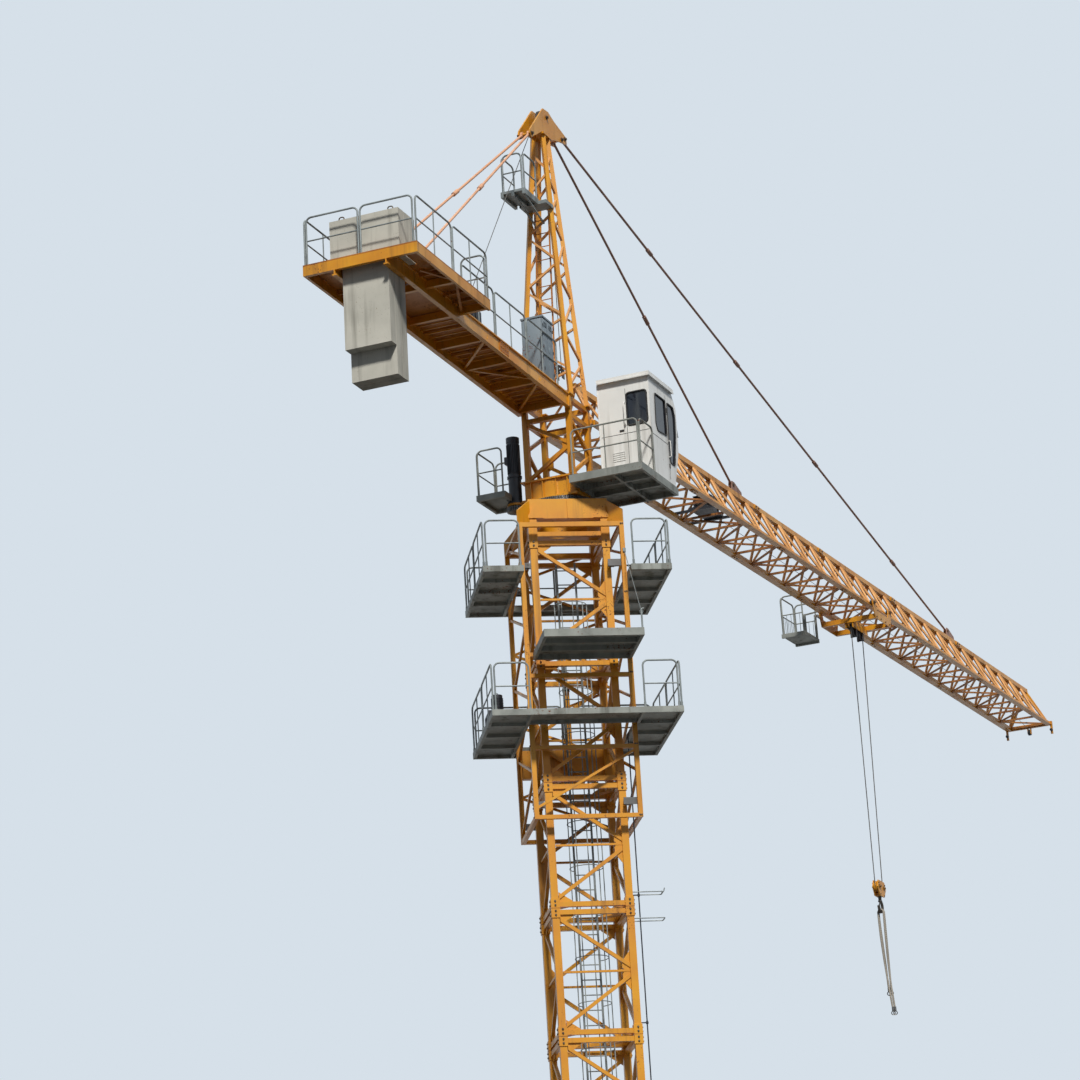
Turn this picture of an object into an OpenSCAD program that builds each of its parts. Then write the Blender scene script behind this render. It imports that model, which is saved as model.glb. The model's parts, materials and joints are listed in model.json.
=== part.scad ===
// Hammerhead tower crane with a climbing cage, a scale model at 1:2.
// Millimetres, +Z up. The origin is on the ground at the mast's axis.
// The jib points along +X and the counter-jib along -X. The mast and the
// cage round it are turned about the axis by mast_turn.

/* [Mast] */
// width of the mast over its chords
mast_w = 800; // [760:10:840]
// size of a mast chord
mast_chord = 70; // [60:1:80]
// height of one mast section
section_h = 1250; // [1150:10:1350]
// number of mast sections
sections = 10; // [8:1:12]
// height of the base frame
base_h = 150; // [120:1:200]
// size of a mast bracing bar
mast_brace = 34; // [28:1:38]
// turn of the mast against the jib, in degrees
mast_turn = -59; // [-70:1:-50]

/* [Climbing cage] */
// width of the cage over its legs
cage_w = 1066; // [1040:2:1100]
// size of a cage leg
cage_leg = 46; // [38:1:54]
// height of the cage
cage_h = 3030; // [2900:10:3200]
// width of the cage decks over their outer edges
deck_w = 1880; // [1800:10:1940]
// height of a handrail over its deck
rail_h = 470; // [440:10:560]

/* [Slewing part] */
// half the spacing of the slewing tower's posts
post_half = 240; // [225:1:255]
// height of the slewing tower
tower_h = 850; // [800:10:900]
// height of the tapered cap
cap_h = 3000; // [2800:10:3200]
// number of teeth on the slewing ring
ring_teeth = 104; // [96:4:108]

/* [Jib] */
// reach of the jib from the mast's axis
jib_reach = 17100; // [15500:100:18500]
// width of the jib between its bottom chords
jib_w = 557; // [520:1:600]
// height of the jib between its chords
jib_high = 517; // [480:1:560]
// number of bays in the jib
jib_bays = 30; // [26:1:34]
// rise of the jib toward its tip, in degrees
jib_tilt = 2.1; // [0:0.1:3]
// distance of the trolley from the mast's axis
trolley_at = 9450; // [6000:50:12500]
// drop from the trolley's sheaves to the hook block
hook_drop = 3256; // [2000:2:5000]

/* [Counter-jib] */
// reach of the counter-jib from the mast's axis
rear_reach = 4525; // [4450:25:4900]
// rise of the counter-jib toward its end, in degrees
rear_tilt = 1.1; // [0:0.1:2]
// half the spacing of the counter-jib's beams
rear_beam_y = 262; // [250:1:275]

/* [Cab] */
// length of the cab along the jib
cab_l = 740; // [680:10:760]
// width of the cab
cab_w = 560; // [520:10:600]
// height of the cab
cab_h = 1040; // [1000:10:1080]

/* [Hidden] */
$fn = 48;
yellow = [0.80, 0.52, 0.08];
pale = [0.86, 0.62, 0.42];
steel = [0.50, 0.53, 0.54];
dark = [0.07, 0.07, 0.08];
white = [0.86, 0.87, 0.86];
stone = [0.66, 0.66, 0.62];

// running clearance at pivots, wheels and rope ends
gap = 0.3;

// levels
chord_y = (mast_w - mast_chord) / 2;
mast_top = base_h + sections * section_h;
support_leg = 215;
support_h = 205;
support_z = mast_top + support_leg;
ring_z = support_z + support_h;
ring_h = 60;
upper_z = ring_z + ring_h;
upper_h = 220;
tower_z = upper_z + upper_h;
cap_z = tower_z + tower_h;
apex_z = cap_z + cap_h;
post = 54;
post_out = post_half + post / 2;
support_face = post_out + 5;

// jib frame
jib_z = tower_z + 705;
jib_root = post_out + 45;
jib_pitch = (jib_reach - jib_root) / jib_bays;
jib_chord = 52;
top_chord = 58;
jib_bar = 24;

// counter-jib frame
rear_z = tower_z + 690;
rear_beam_h = 150;
rear_beam_w = 46;
rear_root = post_out + 40;
rear_wide = 2900;
rear_half = 567;

// cage
cage_half = (cage_w - cage_leg) / 2;
cage_z = mast_top + 135 - cage_h;
cage_top = cage_z + cage_h;
low_z = mast_top - 1890;
top_z = mast_top - 400;
entry_z = mast_top - 1220;
deck_t = 26;
rail_d = 18;
mid_d = 14;
thin_d = 12;
rail_bend = 55;

// square bar along the line from a to b, w across and h deep
module bar(a, b, w, h) {
  d = b - a;
  l = norm(d);
  translate(a)
    rotate([0, acos(d[2] / l), atan2(d[1], d[0])])
      translate([-h / 2, -w / 2, 0])
        cube([h, w, l]);
}

// round bar along the line from a to b
module rod(a, b, d_bar) {
  d = b - a;
  l = norm(d);
  translate(a)
    rotate([0, acos(d[2] / l), atan2(d[1], d[0])])
      cylinder(h = l, d = d_bar);
}

// box from one corner to the opposite one
module block(a, b) {
  translate(a)
    cube(b - a);
}

// plate in the X-Z plane, t thick and centred on y
module plate(y, t, points) {
  translate([0, y + t / 2, 0])
    rotate([90, 0, 0])
      linear_extrude(height = t)
        polygon(points);
}

// four copies, one for each side of a square tower
module four() {
  for (k = [0:3])
    rotate([0, 0, 90 * k])
      children();
}

// frame of the mast
module in_mast() {
  rotate([0, 0, mast_turn])
    children();
}

// frame of the jib, whose x runs along the jib's bottom chords
module in_jib() {
  translate([0, 0, jib_z])
    rotate([0, -jib_tilt, 0])
      children();
}

// frame of the counter-jib, whose x runs away from the mast and y to the right
module in_rear() {
  translate([0, 0, rear_z])
    rotate([0, -rear_tilt, 180])
      children();
}

// point of the jib's frame in the crane's frame
function from_jib(p) = [
  p[0] * cos(jib_tilt) - p[2] * sin(jib_tilt),
  p[1],
  jib_z + p[0] * sin(jib_tilt) + p[2] * cos(jib_tilt)
];

// point of the counter-jib's frame in the crane's frame
function from_rear(p) = [
  -p[0] * cos(rear_tilt) + p[2] * sin(rear_tilt),
  -p[1],
  rear_z + p[0] * sin(rear_tilt) + p[2] * cos(rear_tilt)
];

// bent tube panel of a handrail from p to q, standing at height z
module guard(p, q, z, h = rail_h) {
  l = norm(q - p);
  n = ceil(l / 620);
  translate([p[0], p[1], z])
    rotate([0, 0, atan2(q[1] - p[1], q[0] - p[0])]) {
      for (x = [0, l])
        translate([x, 0, 0])
          cylinder(h = h - rail_bend, d = rail_d);
      translate([rail_bend, 0, h])
        rotate([0, 90, 0])
          cylinder(h = l - 2 * rail_bend, d = rail_d);
      translate([rail_bend, 0, h - rail_bend])
        rotate([90, 0, 0])
          rotate([0, 0, 90])
            rotate_extrude(angle = 90)
              translate([rail_bend, 0])
                circle(d = rail_d);
      translate([l - rail_bend, 0, h - rail_bend])
        rotate([90, 0, 0])
          rotate_extrude(angle = 90)
            translate([rail_bend, 0])
              circle(d = rail_d);
      translate([0, 0, h / 2])
        rotate([0, 90, 0])
          cylinder(h = l, d = mid_d);
      if (n > 1)
        for (k = [1:n - 1])
          translate([l * k / n, 0, 0])
            cylinder(h = h, d = thin_d);
    }
}

foot = 270;
foot_t = 24;
anchor_off = 95;
anchor_d = 30;
sleeve = 8;
sleeve_h = 190;

// width of the two crossed beams that carry the foot's centre
foot_beam = 90;

module base_frame() {
  side = chord_y - mast_chord / 2;
  color(yellow) in_mast() difference() {
    four() {
      translate([-side, -chord_y - 30, foot_t])
        cube([2 * side, 60, base_h - foot_t - 20]);
      translate([chord_y - foot / 2, chord_y - foot / 2, 0])
        cube([foot, foot, foot_t]);
      translate([side - 15, side - 15, 0])
        cube([mast_chord + 30, mast_chord + 30, base_h]);
      translate([-foot_beam / 2, -chord_y, 0])
        cube([foot_beam, chord_y + foot_beam / 2, base_h - foot_t - 20]);
    }
    four()
      for (x = [-anchor_off, anchor_off], y = [-anchor_off, anchor_off])
        translate([chord_y + x, chord_y + y, -1])
          cylinder(h = foot_t + 2, d = anchor_d);
  }
}

module mast_chords() {
  color(yellow) in_mast()
    four()
      translate([chord_y, chord_y, base_h]) {
        translate([-mast_chord / 2, -mast_chord / 2, 0])
          cube([mast_chord, mast_chord, sections * section_h]);
        for (j = [0:sections]) {
          low = max(j * section_h - sleeve_h / 2, 0);
          high = min(j * section_h + sleeve_h / 2, sections * section_h);
          translate([-mast_chord / 2 - sleeve, -mast_chord / 2 - sleeve, low])
            cube([mast_chord + 2 * sleeve, mast_chord + 2 * sleeve, high - low]);
        }
      }
}

// one flat side of the mast, whose bracing meets at the right-hand chord
module mast_side() {
  inner = chord_y - mast_chord / 2;
  beam = 48;
  y0 = -chord_y;
  for (j = [0:sections - 1]) {
    z0 = base_h + j * section_h;
    zm = z0 + section_h / 2;
    z1 = z0 + section_h;
    for (z = [z0 + 15, z1 - 15 - beam])
      block([-inner + sleeve, y0 - beam / 2, z], [inner - sleeve, y0 + beam / 2, z + beam]);
    intersection() {
      union() {
        bar([-inner - 60, y0, z0 + 105 - 45], [inner + 60, y0, zm - 50 + 45], mast_brace, mast_brace);
        bar([-inner - 60, y0, z1 - 105 + 45], [inner + 60, y0, zm + 50 - 45], mast_brace, mast_brace);
        block([-inner, y0 - 10, zm - 10], [inner, y0 + 10, zm + 10]);
        plate(y0, 14, [[inner, zm - 190], [inner - 75, zm - 90], [inner - 75, zm - 30], [inner - 45, zm],
                       [inner - 75, zm + 30], [inner - 75, zm + 90], [inner, zm + 190]]);
      }
      block([-inner + sleeve, y0 - 30, z0 + 15 + beam / 2], [inner, y0 + 30, z1 - 15 - beam / 2]);
    }
    for (s = [0, 1]) {
      z = s == 0 ? z0 + 15 + beam : z1 - 15 - beam;
      up = s == 0 ? 1 : -1;
      plate(y0, 14, [[-inner + sleeve, z - up * 10], [-inner + 140, z - up * 10], [-inner + 140, z + up * 12],
                     [-inner + sleeve, z + up * 100]]);
    }
  }
}

module mast_front() {
  color(yellow) in_mast() mast_side();
}

module mast_right() {
  color(yellow) in_mast() rotate([0, 0, 90]) mast_side();
}

module mast_rear() {
  color(yellow) in_mast() rotate([0, 0, 180]) mast_side();
}

module mast_left() {
  color(yellow) in_mast() rotate([0, 0, 270]) mast_side();
}

ladder_x = 40;
ladder_y = 235;
ladder_w = 190;
rung_pitch = 150;
rung_d = 12;

module mast_ladder() {
  low = base_h + 25;
  high = mast_top - 60;
  reach = chord_y - 24;
  color(steel) in_mast() {
    for (s = [-1, 1])
      translate([ladder_x + s * ladder_w / 2 - 9, ladder_y - 12, low])
        cube([18, 24, high - low]);
    for (k = [0:floor((high - low - 60) / rung_pitch)])
      translate([ladder_x - ladder_w / 2, ladder_y, low + 40 + k * rung_pitch])
        rotate([0, 90, 0])
          cylinder(h = ladder_w, d = rung_d);
    for (j = [0:sections - 1])
      for (s = [-1, 1])
        block([ladder_x + s * ladder_w / 2 - 9, ladder_y + 12, base_h + j * section_h + 22],
              [ladder_x + s * ladder_w / 2 + 9, reach, base_h + j * section_h + 52]);
  }
}

module cage_legs() {
  color(yellow) in_mast()
    four()
      translate([cage_half - cage_leg / 2, cage_half - cage_leg / 2, cage_z])
        cube([cage_leg, cage_leg, cage_h]);
}

cage_bays = 4;
cage_bar = 24;

// one flat side of the cage, whose bracing meets the left leg at each bay
module cage_side(turned) {
  inner = cage_half - cage_leg / 2;
  y0 = -cage_half;
  pitch = (cage_h - 60) / cage_bays;
  flip = turned ? -1 : 1;
  intersection() {
    union() {
      for (z = [cage_z + 20, cage_top - 20])
        block([-inner, y0 - 20, z - 20], [inner, y0 + 20, z + 20]);
      for (j = [0:cage_bays - 1]) {
        z = cage_z + 100 + j * pitch;
        bar([-flip * (inner + 20), y0, z], [flip * (inner + 20), y0, z + pitch / 2], cage_bar, cage_bar);
        bar([flip * (inner + 20), y0, z + pitch / 2], [-flip * (inner + 20), y0, z + pitch], cage_bar, cage_bar);
      }
    }
    block([-inner, y0 - 20, cage_z], [inner, y0 + 20, cage_top]);
  }
}

module cage_left() {
  color(yellow) in_mast() rotate([0, 0, 270]) cage_side(false);
}

module cage_right() {
  color(yellow) in_mast() rotate([0, 0, 90]) cage_side(true);
}

module cage_rear() {
  color(yellow) in_mast() rotate([0, 0, 180]) cage_side(false);
}

// the open front, closed by a head beam and by braced beams below the entry
module cage_front() {
  inner = cage_half - cage_leg / 2;
  y0 = -cage_half;
  low = [cage_z + 20, cage_z + 715, cage_z + 1445, cage_z + 1660];
  color(yellow) in_mast() intersection() {
    union() {
      block([-inner, y0 - 20, cage_top - 46], [inner, y0 + 20, cage_top]);
      for (z = low)
        block([-inner, y0 - 20, z - 20], [inner, y0 + 20, z + 20]);
      bar([-inner - 20, y0, low[0] + 90], [inner + 20, y0, low[1] - 30], cage_bar, cage_bar);
    }
    block([-inner, y0 - 20, cage_z], [inner, y0 + 20, cage_top]);
  }
}

beam_z = cage_z + 645;
beam_h = 290;
beam_half = 35;
beam_y = mast_w / 2 + 12 + beam_half;

// cross beam of the climbing gear, on the cage's rear legs
module cage_beam() {
  inner = cage_half - cage_leg / 2;
  color(yellow) in_mast() {
    block([-inner, beam_y - beam_half, beam_z], [inner, beam_y + beam_half, beam_z + beam_h]);
    for (x = [-inner, inner - 60])
      block([x, beam_y, beam_z + 30], [x + 60, cage_half - cage_bar / 2 - 1, beam_z + beam_h - 30]);
    plate(beam_y, 20, [[-170, beam_z + 12], [-90, beam_z - 110], [90, beam_z - 110], [170, beam_z + 12]]);
  }
}

ram_z = beam_z + beam_h;
ram_d = 64;

// lifting cylinder on the rear beam, with its shoe beside the mast
module cage_ram() {
  color(yellow) in_mast()
    translate([0, beam_y, ram_z]) {
      cylinder(h = 640, d = ram_d);
      translate([0, 0, 640])
        cylinder(h = 250, d = 40);
      translate([-70, -30, 890])
        cube([140, 60, 70]);
    }
}

deck_in = cage_w / 2;
deck_rear = deck_w / 2 - 200;
fascia = 60;
joist = 30;

// distance from the mast's axis to the front edges of the two ring decks
low_near = deck_w / 2 - 35;
top_near = deck_w / 2 - 135;

// decking plates and the frames below them, round the cage
module ring_deck(z, near, closed) {
  h = deck_w / 2;
  z0 = z - fascia;
  for (s = [-1, 1])
    translate([s * (h + deck_in) / 2, 0, 0]) {
      w = h - deck_in;
      block([-w / 2, -near, z - deck_t], [w / 2, deck_rear, z]);
      for (x = [-w / 2, w / 2 - joist])
        block([x, -near, z0], [x + joist, deck_rear, z - deck_t]);
      for (y = [-near, -near * 0.55, -near * 0.1, deck_rear * 0.45, deck_rear - joist])
        block([-w / 2, y, z0], [w / 2, y + joist, z - deck_t]);
    }
  block([-deck_in, deck_in, z - deck_t], [deck_in, deck_rear, z]);
  for (y = [deck_in, deck_rear - joist])
    block([-deck_in, y, z0], [deck_in, y + joist, z - deck_t]);
  if (closed) {
    block([-deck_in, -near, z - deck_t], [deck_in, -deck_in, z]);
    for (y = [-near, -deck_in - joist])
      block([-deck_in, y, z0], [deck_in, y + joist, z - deck_t]);
  }
}

entry_x0 = -455;
entry_x1 = 525;
entry_y = 1345;

module cage_decks() {
  color(steel) in_mast() {
    ring_deck(low_z, low_near, true);
    ring_deck(top_z, top_near, false);
    block([entry_x0, -entry_y, entry_z - deck_t], [entry_x1, -deck_in, entry_z]);
    for (y = [-entry_y, -entry_y + 245, -entry_y + 495, -deck_in - joist])
      block([entry_x0, y, entry_z - 75], [entry_x1, y + joist, entry_z - deck_t]);
    for (x = [entry_x0, entry_x1 - joist])
      block([x, -entry_y, entry_z - 75], [x + joist, -deck_in, entry_z - deck_t]);
  }
}

// handrail panels round one cage deck
module deck_guards(z, near) {
  h = deck_w / 2 - 14;
  inset = 26;
  mid = (deck_rear - near) / 2;
  for (s = [-1, 1]) {
    guard([s * h, -near + inset], [s * h, mid - 4], z);
    guard([s * h, mid + 16], [s * h, deck_rear - inset], z);
    guard([s * (h - inset), -near + 14], [s * (deck_in + 30), -near + 14], z);
  }
  guard([-h + inset, deck_rear - 14], [-10, deck_rear - 14], z);
  guard([10, deck_rear - 14], [h - inset, deck_rear - 14], z);
}

module cage_rails() {
  color(steel) in_mast() {
    deck_guards(low_z, low_near);
    deck_guards(top_z, top_near);
    translate([entry_x1 - 15, -entry_y + 15, entry_z])
      cylinder(h = 170, d = rail_d);
  }
}

// pump unit of the climbing gear, on the left of the lower deck
module pump_unit() {
  color(dark) in_mast()
    translate([-deck_w / 2 + 60, -200, low_z]) {
      block([0, 0, 0], [200, 330, 190]);
      translate([100, 90, 190])
        cylinder(h = 170, d = 110);
      translate([100, 250, 190])
        cylinder(h = 120, d = 70);
    }
}

ring_m = 7;
ring_pitch_r = ring_teeth * ring_m / 2;
ring_bore = 250;
race_r = 295;

module lower_support() {
  half = mast_w / 2;
  leg = mast_chord / 2 + sleeve;
  color(yellow) in_mast() difference() {
    union() {
      four() {
        translate([chord_y - leg, chord_y - leg, mast_top])
          cube([2 * leg, 2 * leg, support_leg + 30]);
        block([-half, -half, support_z], [half, -half + 24, ring_z]);
        block([-7, -half - 14, support_z], [7, -half, ring_z - 14]);
        for (s = [-1, 1])
          plate(-half - 10, 20, [[s * 335 - 85, support_z], [s * 335 + 85, support_z], [s * 335, ring_z - 60]]);
        rotate([0, 0, 45])
          plate(0, 24, [[half * sqrt(2) - 90, support_z], [cage_half * sqrt(2) - 34, cage_top],
                        [cage_half * sqrt(2) + 24, cage_top], [cage_half * sqrt(2) + 24, support_z + 50],
                        [half * sqrt(2) - 20, ring_z - 8], [half * sqrt(2) - 90, ring_z - 8]]);
        block([-chord_y + leg, -chord_y - 24, mast_top + 30], [chord_y - leg, -chord_y + 24, mast_top + 78]);
      }
      block([-half, -half, ring_z - 18], [half, half, ring_z]);
      block([-half, -half, support_z], [half, half, support_z + 14]);
      translate([0, 0, support_z])
        cylinder(r = race_r + 40, h = support_h);
    }
    translate([0, 0, support_z - 1])
      cylinder(r = ring_bore, h = support_h + 2);
  }
}

// straight-sided gear tooth on a pitch circle of radius r
module tooth(r) {
  half = PI * ring_m / 4 - 0.5;
  out = 5.6;
  in = 8.2;
  polygon([[r - in - 4, -half - in * 0.36], [r - in, -half - in * 0.36], [r + out, -half + out * 0.36],
           [r + out, half - out * 0.36], [r - in, half + in * 0.36], [r - in - 4, half + in * 0.36]]);
}

pinion_teeth = ring_teeth / 4;
pinion_r = pinion_teeth * ring_m / 2;
drive_turn = 117.5;
drive_r = ring_pitch_r + pinion_r;
drive_at = [drive_r * cos(drive_turn), drive_r * sin(drive_turn), 0];
gear_h = ring_h - 8;

module ring_gear() {
  color(steel) translate([0, 0, ring_z]) difference() {
    union() {
      cylinder(r = ring_pitch_r - 8.2, h = gear_h);
      for (k = [0:ring_teeth - 1])
        rotate([0, 0, drive_turn + k * 360 / ring_teeth])
          linear_extrude(height = gear_h)
            tooth(ring_pitch_r);
    }
    translate([0, 0, -1])
      cylinder(r = race_r, h = ring_h + 2);
  }
}

module ring_inner() {
  color(steel) difference() {
    translate([0, 0, ring_z + gap])
      cylinder(r = race_r - gap, h = ring_h - gap);
    translate([0, 0, ring_z])
      cylinder(r = ring_bore, h = ring_h + 1);
  }
}

drive_bore = 26;

module slew_pinion() {
  color(steel) translate(drive_at + [0, 0, ring_z + 4]) rotate([0, 0, drive_turn + 180]) {
    cylinder(r = pinion_r - 8.2, h = gear_h - 4);
    for (k = [0:pinion_teeth - 1])
      rotate([0, 0, (k + 0.5) * 360 / pinion_teeth])
        translate([0, 0, 1])
          linear_extrude(height = gear_h - 6)
            tooth(pinion_r);
    cylinder(r = drive_bore - gap, h = ring_h + 16);
  }
}

module upper_support() {
  w = 2 * post_out + 70;
  flange = 22;
  color(yellow) difference() {
    union() {
      block([-w / 2, -w / 2, upper_z], [w / 2, w / 2, upper_z + flange]);
      block([-w / 2, -w / 2, tower_z - 18], [w / 2, w / 2, tower_z]);
      four() {
        block([-support_face, -support_face, upper_z + flange], [support_face, 18 - support_face, tower_z - 18]);
      }
      translate([0, 0, upper_z])
        cylinder(r = race_r - 8, h = upper_h - 4);
      translate(drive_at + [0, 0, upper_z])
        cylinder(r = 92, h = flange);
      rotate([0, 0, drive_turn])
        block([drive_r - 200, -80, upper_z], [drive_r, 80, upper_z + flange]);
    }
    translate([0, 0, upper_z - 1])
      cylinder(r = ring_bore, h = upper_h + 2);
    translate(drive_at + [0, 0, upper_z - 1])
      cylinder(r = drive_bore, h = flange + 2);
  }
}

module slew_drive() {
  z = upper_z + 22 + gap;
  color(dark) translate(drive_at + [0, 0, z]) {
    cylinder(r = 84, h = 24);
    translate([0, 0, 24])
      cylinder(r = 66, h = 256);
    translate([0, 0, 280])
      cylinder(r = 76, h = 22);
    translate([0, 0, 302])
      cylinder(r = 62, h = 360);
    translate([0, 0, 662])
      cylinder(r = 68, h = 52);
  }
}

module tower_posts() {
  color(yellow)
    four()
      translate([post_half - post / 2, post_half - post / 2, tower_z])
        cube([post, post, tower_h]);
}

tower_bar = 34;

// bracing of the slewing tower, whose bars meet at the middle of one post
module tower_bracing() {
  inner = post_half - post / 2;
  zm = tower_z + 330;
  color(yellow) four() {
    intersection() {
      union() {
        bar([-inner - 20, -post_half, tower_z + 20], [inner + 20, -post_half, zm - 12], tower_bar, tower_bar);
        bar([inner + 20, -post_half, zm + 12], [-inner - 20, -post_half, tower_z + 620], tower_bar, tower_bar);
        plate(-post_half, 12, [[inner, zm - 80], [inner - 60, zm - 40], [inner - 60, zm + 40], [inner, zm + 80]]);
        block([-inner, -post_half - 23, tower_z + 620], [inner, -post_half + 23, tower_z + 666]);
      }
      block([-inner, -post_out, tower_z], [inner, -post_half + post / 2, tower_z + 680]);
    }
    block([-inner, -post_half - 23, cap_z - 50], [inner, -post_half + 23, cap_z]);
  }
}

side_x0 = -470;
side_x1 = 20;
side_y0 = post_out + 140;
side_y1 = 725;
side_z = upper_z + 107;

module side_deck() {
  color(steel) difference() {
    union() {
      block([side_x0, side_y0, side_z - deck_t], [side_x1, side_y1, side_z]);
      for (y = [side_y0, side_y1 - joist])
        block([side_x0, y, side_z - fascia], [side_x1, y + joist, side_z - deck_t]);
      for (x = [side_x0, side_x1 - joist])
        block([x, side_y0, side_z - fascia], [x + joist, side_y1, side_z - deck_t]);
      for (x = [side_x1 - 2 * joist, -100])
        block([x, support_face, side_z - fascia], [x + joist, side_y0, side_z - deck_t]);
      guard([side_x0 + 14, side_y0 + 26], [side_x0 + 14, side_y1 - 26], side_z);
      guard([side_x0 + 30, side_y1 - 14], [side_x1 - 30, side_y1 - 14], side_z);
      guard([side_x1 - 14, side_y1 - 26], [side_x1 - 14, side_y0 + 26], side_z);
    }
    translate(drive_at + [0, 0, side_z - 200])
      cylinder(r = 96, h = 300);
    translate([0, 0, upper_z])
      cylinder(r = race_r - 8 + gap, h = upper_h);
  }
}

cap_leg = 44;
cap_x = [208, 64];
cap_y = [264, 54];
cap_lean = 60;

// corner of the cap's leg axes at a share u of its height
function cap_at(u, sx, sy) = [
  cap_lean * u + sx * (cap_x[0] + (cap_x[1] - cap_x[0]) * u),
  sy * (cap_y[0] + (cap_y[1] - cap_y[0]) * u),
  cap_z + cap_h * u
];

module cap_legs() {
  color(yellow) intersection() {
    for (x = [-1, 1], y = [-1, 1])
      bar(cap_at(-0.02, x, y), cap_at(1.02, x, y), cap_leg, cap_leg);
    block([-400, -400, cap_z], [400, 400, apex_z]);
  }
  color(yellow)
    four()
      block([post_half - 64, post_half - 64, cap_z], [post_half + 56, post_half + 56, cap_z + 14]);
}

cap_bar = 22;
side_steps = [0.03, 0.16, 0.25, 0.39, 0.47, 0.605, 0.69, 0.78, 0.86, 0.94];
end_steps = [0.03, 0.1, 0.226, 0.3, 0.42, 0.51, 0.62, 0.7, 0.78, 0.86, 0.94];

// zigzag between legs a and b of the cap, with its nodes at the given steps
module cap_zigzag(a, b, steps) {
  for (j = [0:len(steps) - 2]) {
    p = j % 2 == 0 ? a : b;
    q = j % 2 == 0 ? b : a;
    bar(cap_at(steps[j] + 0.008, p[0], p[1]), cap_at(steps[j + 1] - 0.008, q[0], q[1]), cap_bar, cap_bar);
  }
}

module cap_sides() {
  color(pale) difference() {
    for (y = [-1, 1])
      cap_zigzag([-1, y], [1, y], side_steps);
    cap_legs();
  }
}

module cap_ends() {
  color(pale) difference() {
    for (x = [-1, 1])
      cap_zigzag([x, 1], [x, -1], end_steps);
    cap_legs();
  }
}

head_plate = 16;
head_half = 62;
pulley_at = [90, 0, apex_z + 235];
jib_pins = [[570, 0, apex_z + 172], [482, 0, apex_z + 134]];
rear_pin = [-340, 0, apex_z - 106];
pin_d = 28;

// head of the cap: two shaped cheeks on a cap plate, with the tie pins
module cap_head() {
  color(yellow) {
    block([cap_lean - 120, -90, apex_z], [cap_lean + 120, 90, apex_z + 20]);
    for (s = [-1, 1])
      plate(s * head_half, head_plate,
            [[-60, apex_z + 20], [-350, apex_z - 156], [-392, apex_z - 120], [-370, apex_z - 66], [10, apex_z + 310],
             [150, apex_z + 322], [300, apex_z + 270], [620, apex_z + 206], [622, apex_z + 130], [440, apex_z + 92],
             [170, apex_z + 20]]);
    for (p = concat(jib_pins, [rear_pin, pulley_at]))
      translate(p + [0, -head_half, 0])
        rotate([-90, 0, 0])
          cylinder(h = 2 * head_half, d = pin_d);
  }
}

module head_pulley() {
  color(dark) translate(pulley_at) rotate([90, 0, 0]) difference() {
    cylinder(r = 84, h = 36, center = true);
    rotate_extrude()
      translate([86, 0])
        circle(d = 18);
    cylinder(d = pin_d + 2 * gap, h = 60, center = true);
  }
}

rest_z = 16390;

rest_rail = 400;

// resting platform behind the cap, with a plate between the cap's legs
module cap_rest() {
  u = (rest_z - cap_z) / cap_h;
  back = cap_at(u, -1, 1)[0] - cap_leg / 2 + 6;
  half = cap_at(u, -1, 1)[1] + 40;
  color(steel) {
    block([-600, -60, rest_z - deck_t], [-240, 210, rest_z]);
    for (y = [-60, 60, 180])
      block([-600, y, rest_z - 62], [-240, y + joist, rest_z - deck_t]);
    difference() {
      block([-262, -half, rest_z - 62], [back, half, rest_z - deck_t]);
      for (y = [-1, 1])
        bar(cap_at(-0.02, -1, y), cap_at(1.02, -1, y), cap_leg + 2 * gap, cap_leg + 2 * gap);
    }
    guard([-586, -30], [-586, 180], rest_z, rest_rail);
    guard([-566, 196], [-260, 196], rest_z, rest_rail);
    guard([-566, -46], [-260, -46], rest_z, rest_rail);
  }
}

rear_plate = 14;
cross_x = [rear_root, rear_wide - 1900, rear_wide - 1260, rear_wide - 620];

module rear_beams() {
  web = 12;
  top = rear_beam_h;
  wide_low = 55;
  color(yellow) difference() {
    rear_beam_body(web, top, wide_low);
    block([-post_out, -400, rear_z - 100], [0, 400, rear_z + 300]);
  }
}

module rear_beam_body(web, top, wide_low) {
  in_rear() {
    for (s = [-1, 1]) {
      y = s * rear_beam_y;
      block([rear_root, y - rear_beam_w / 2, 0], [rear_reach, y + rear_beam_w / 2, web]);
      block([rear_root, y - rear_beam_w / 2, top - web], [rear_reach, y + rear_beam_w / 2, top]);
      block([rear_root, y - web / 2, web], [rear_reach, y + web / 2, top - web]);
    }
    for (x = cross_x)
      block([x, -rear_beam_y + web / 2, 30], [x + 36, rear_beam_y - web / 2, 110]);
    for (x = [rear_wide, rear_wide + 740])
      block([x, -rear_half, wide_low + 12], [x + 40, rear_half, top - web]);
    block([rear_reach - 40, -rear_half, wide_low], [rear_reach, rear_half, top]);
    for (s = [-1, 1])
      block([rear_wide, s * rear_half - 14, wide_low], [rear_reach, s * rear_half + 14, top]);
    for (j = [0:2]) {
      x0 = cross_x[j] + 36;
      x1 = cross_x[j + 1];
      s = j % 2 == 0 ? 1 : -1;
      bar([x0 - 10, -s * rear_beam_y, 60], [x1 + 10, s * rear_beam_y, 60], 26, 26);
    }
    for (s = [-1, 1])
      block([rear_root - 60, s * rear_beam_y - 40, 20], [rear_root + 4, s * rear_beam_y + 20, top - 20]);
  }
}

slab_x1 = rear_reach - 115;
slab_x0 = slab_x1 - 348;
slab_gap = 6;
slab_t = (slab_x1 - slab_x0 - 2 * slab_gap) / 3;
slab_top = rear_beam_h + 440;
slab_low = [-990, -990, -710];
slab_in = rear_beam_y - rear_beam_w / 2 - 6;
slab_out = 352;

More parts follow.
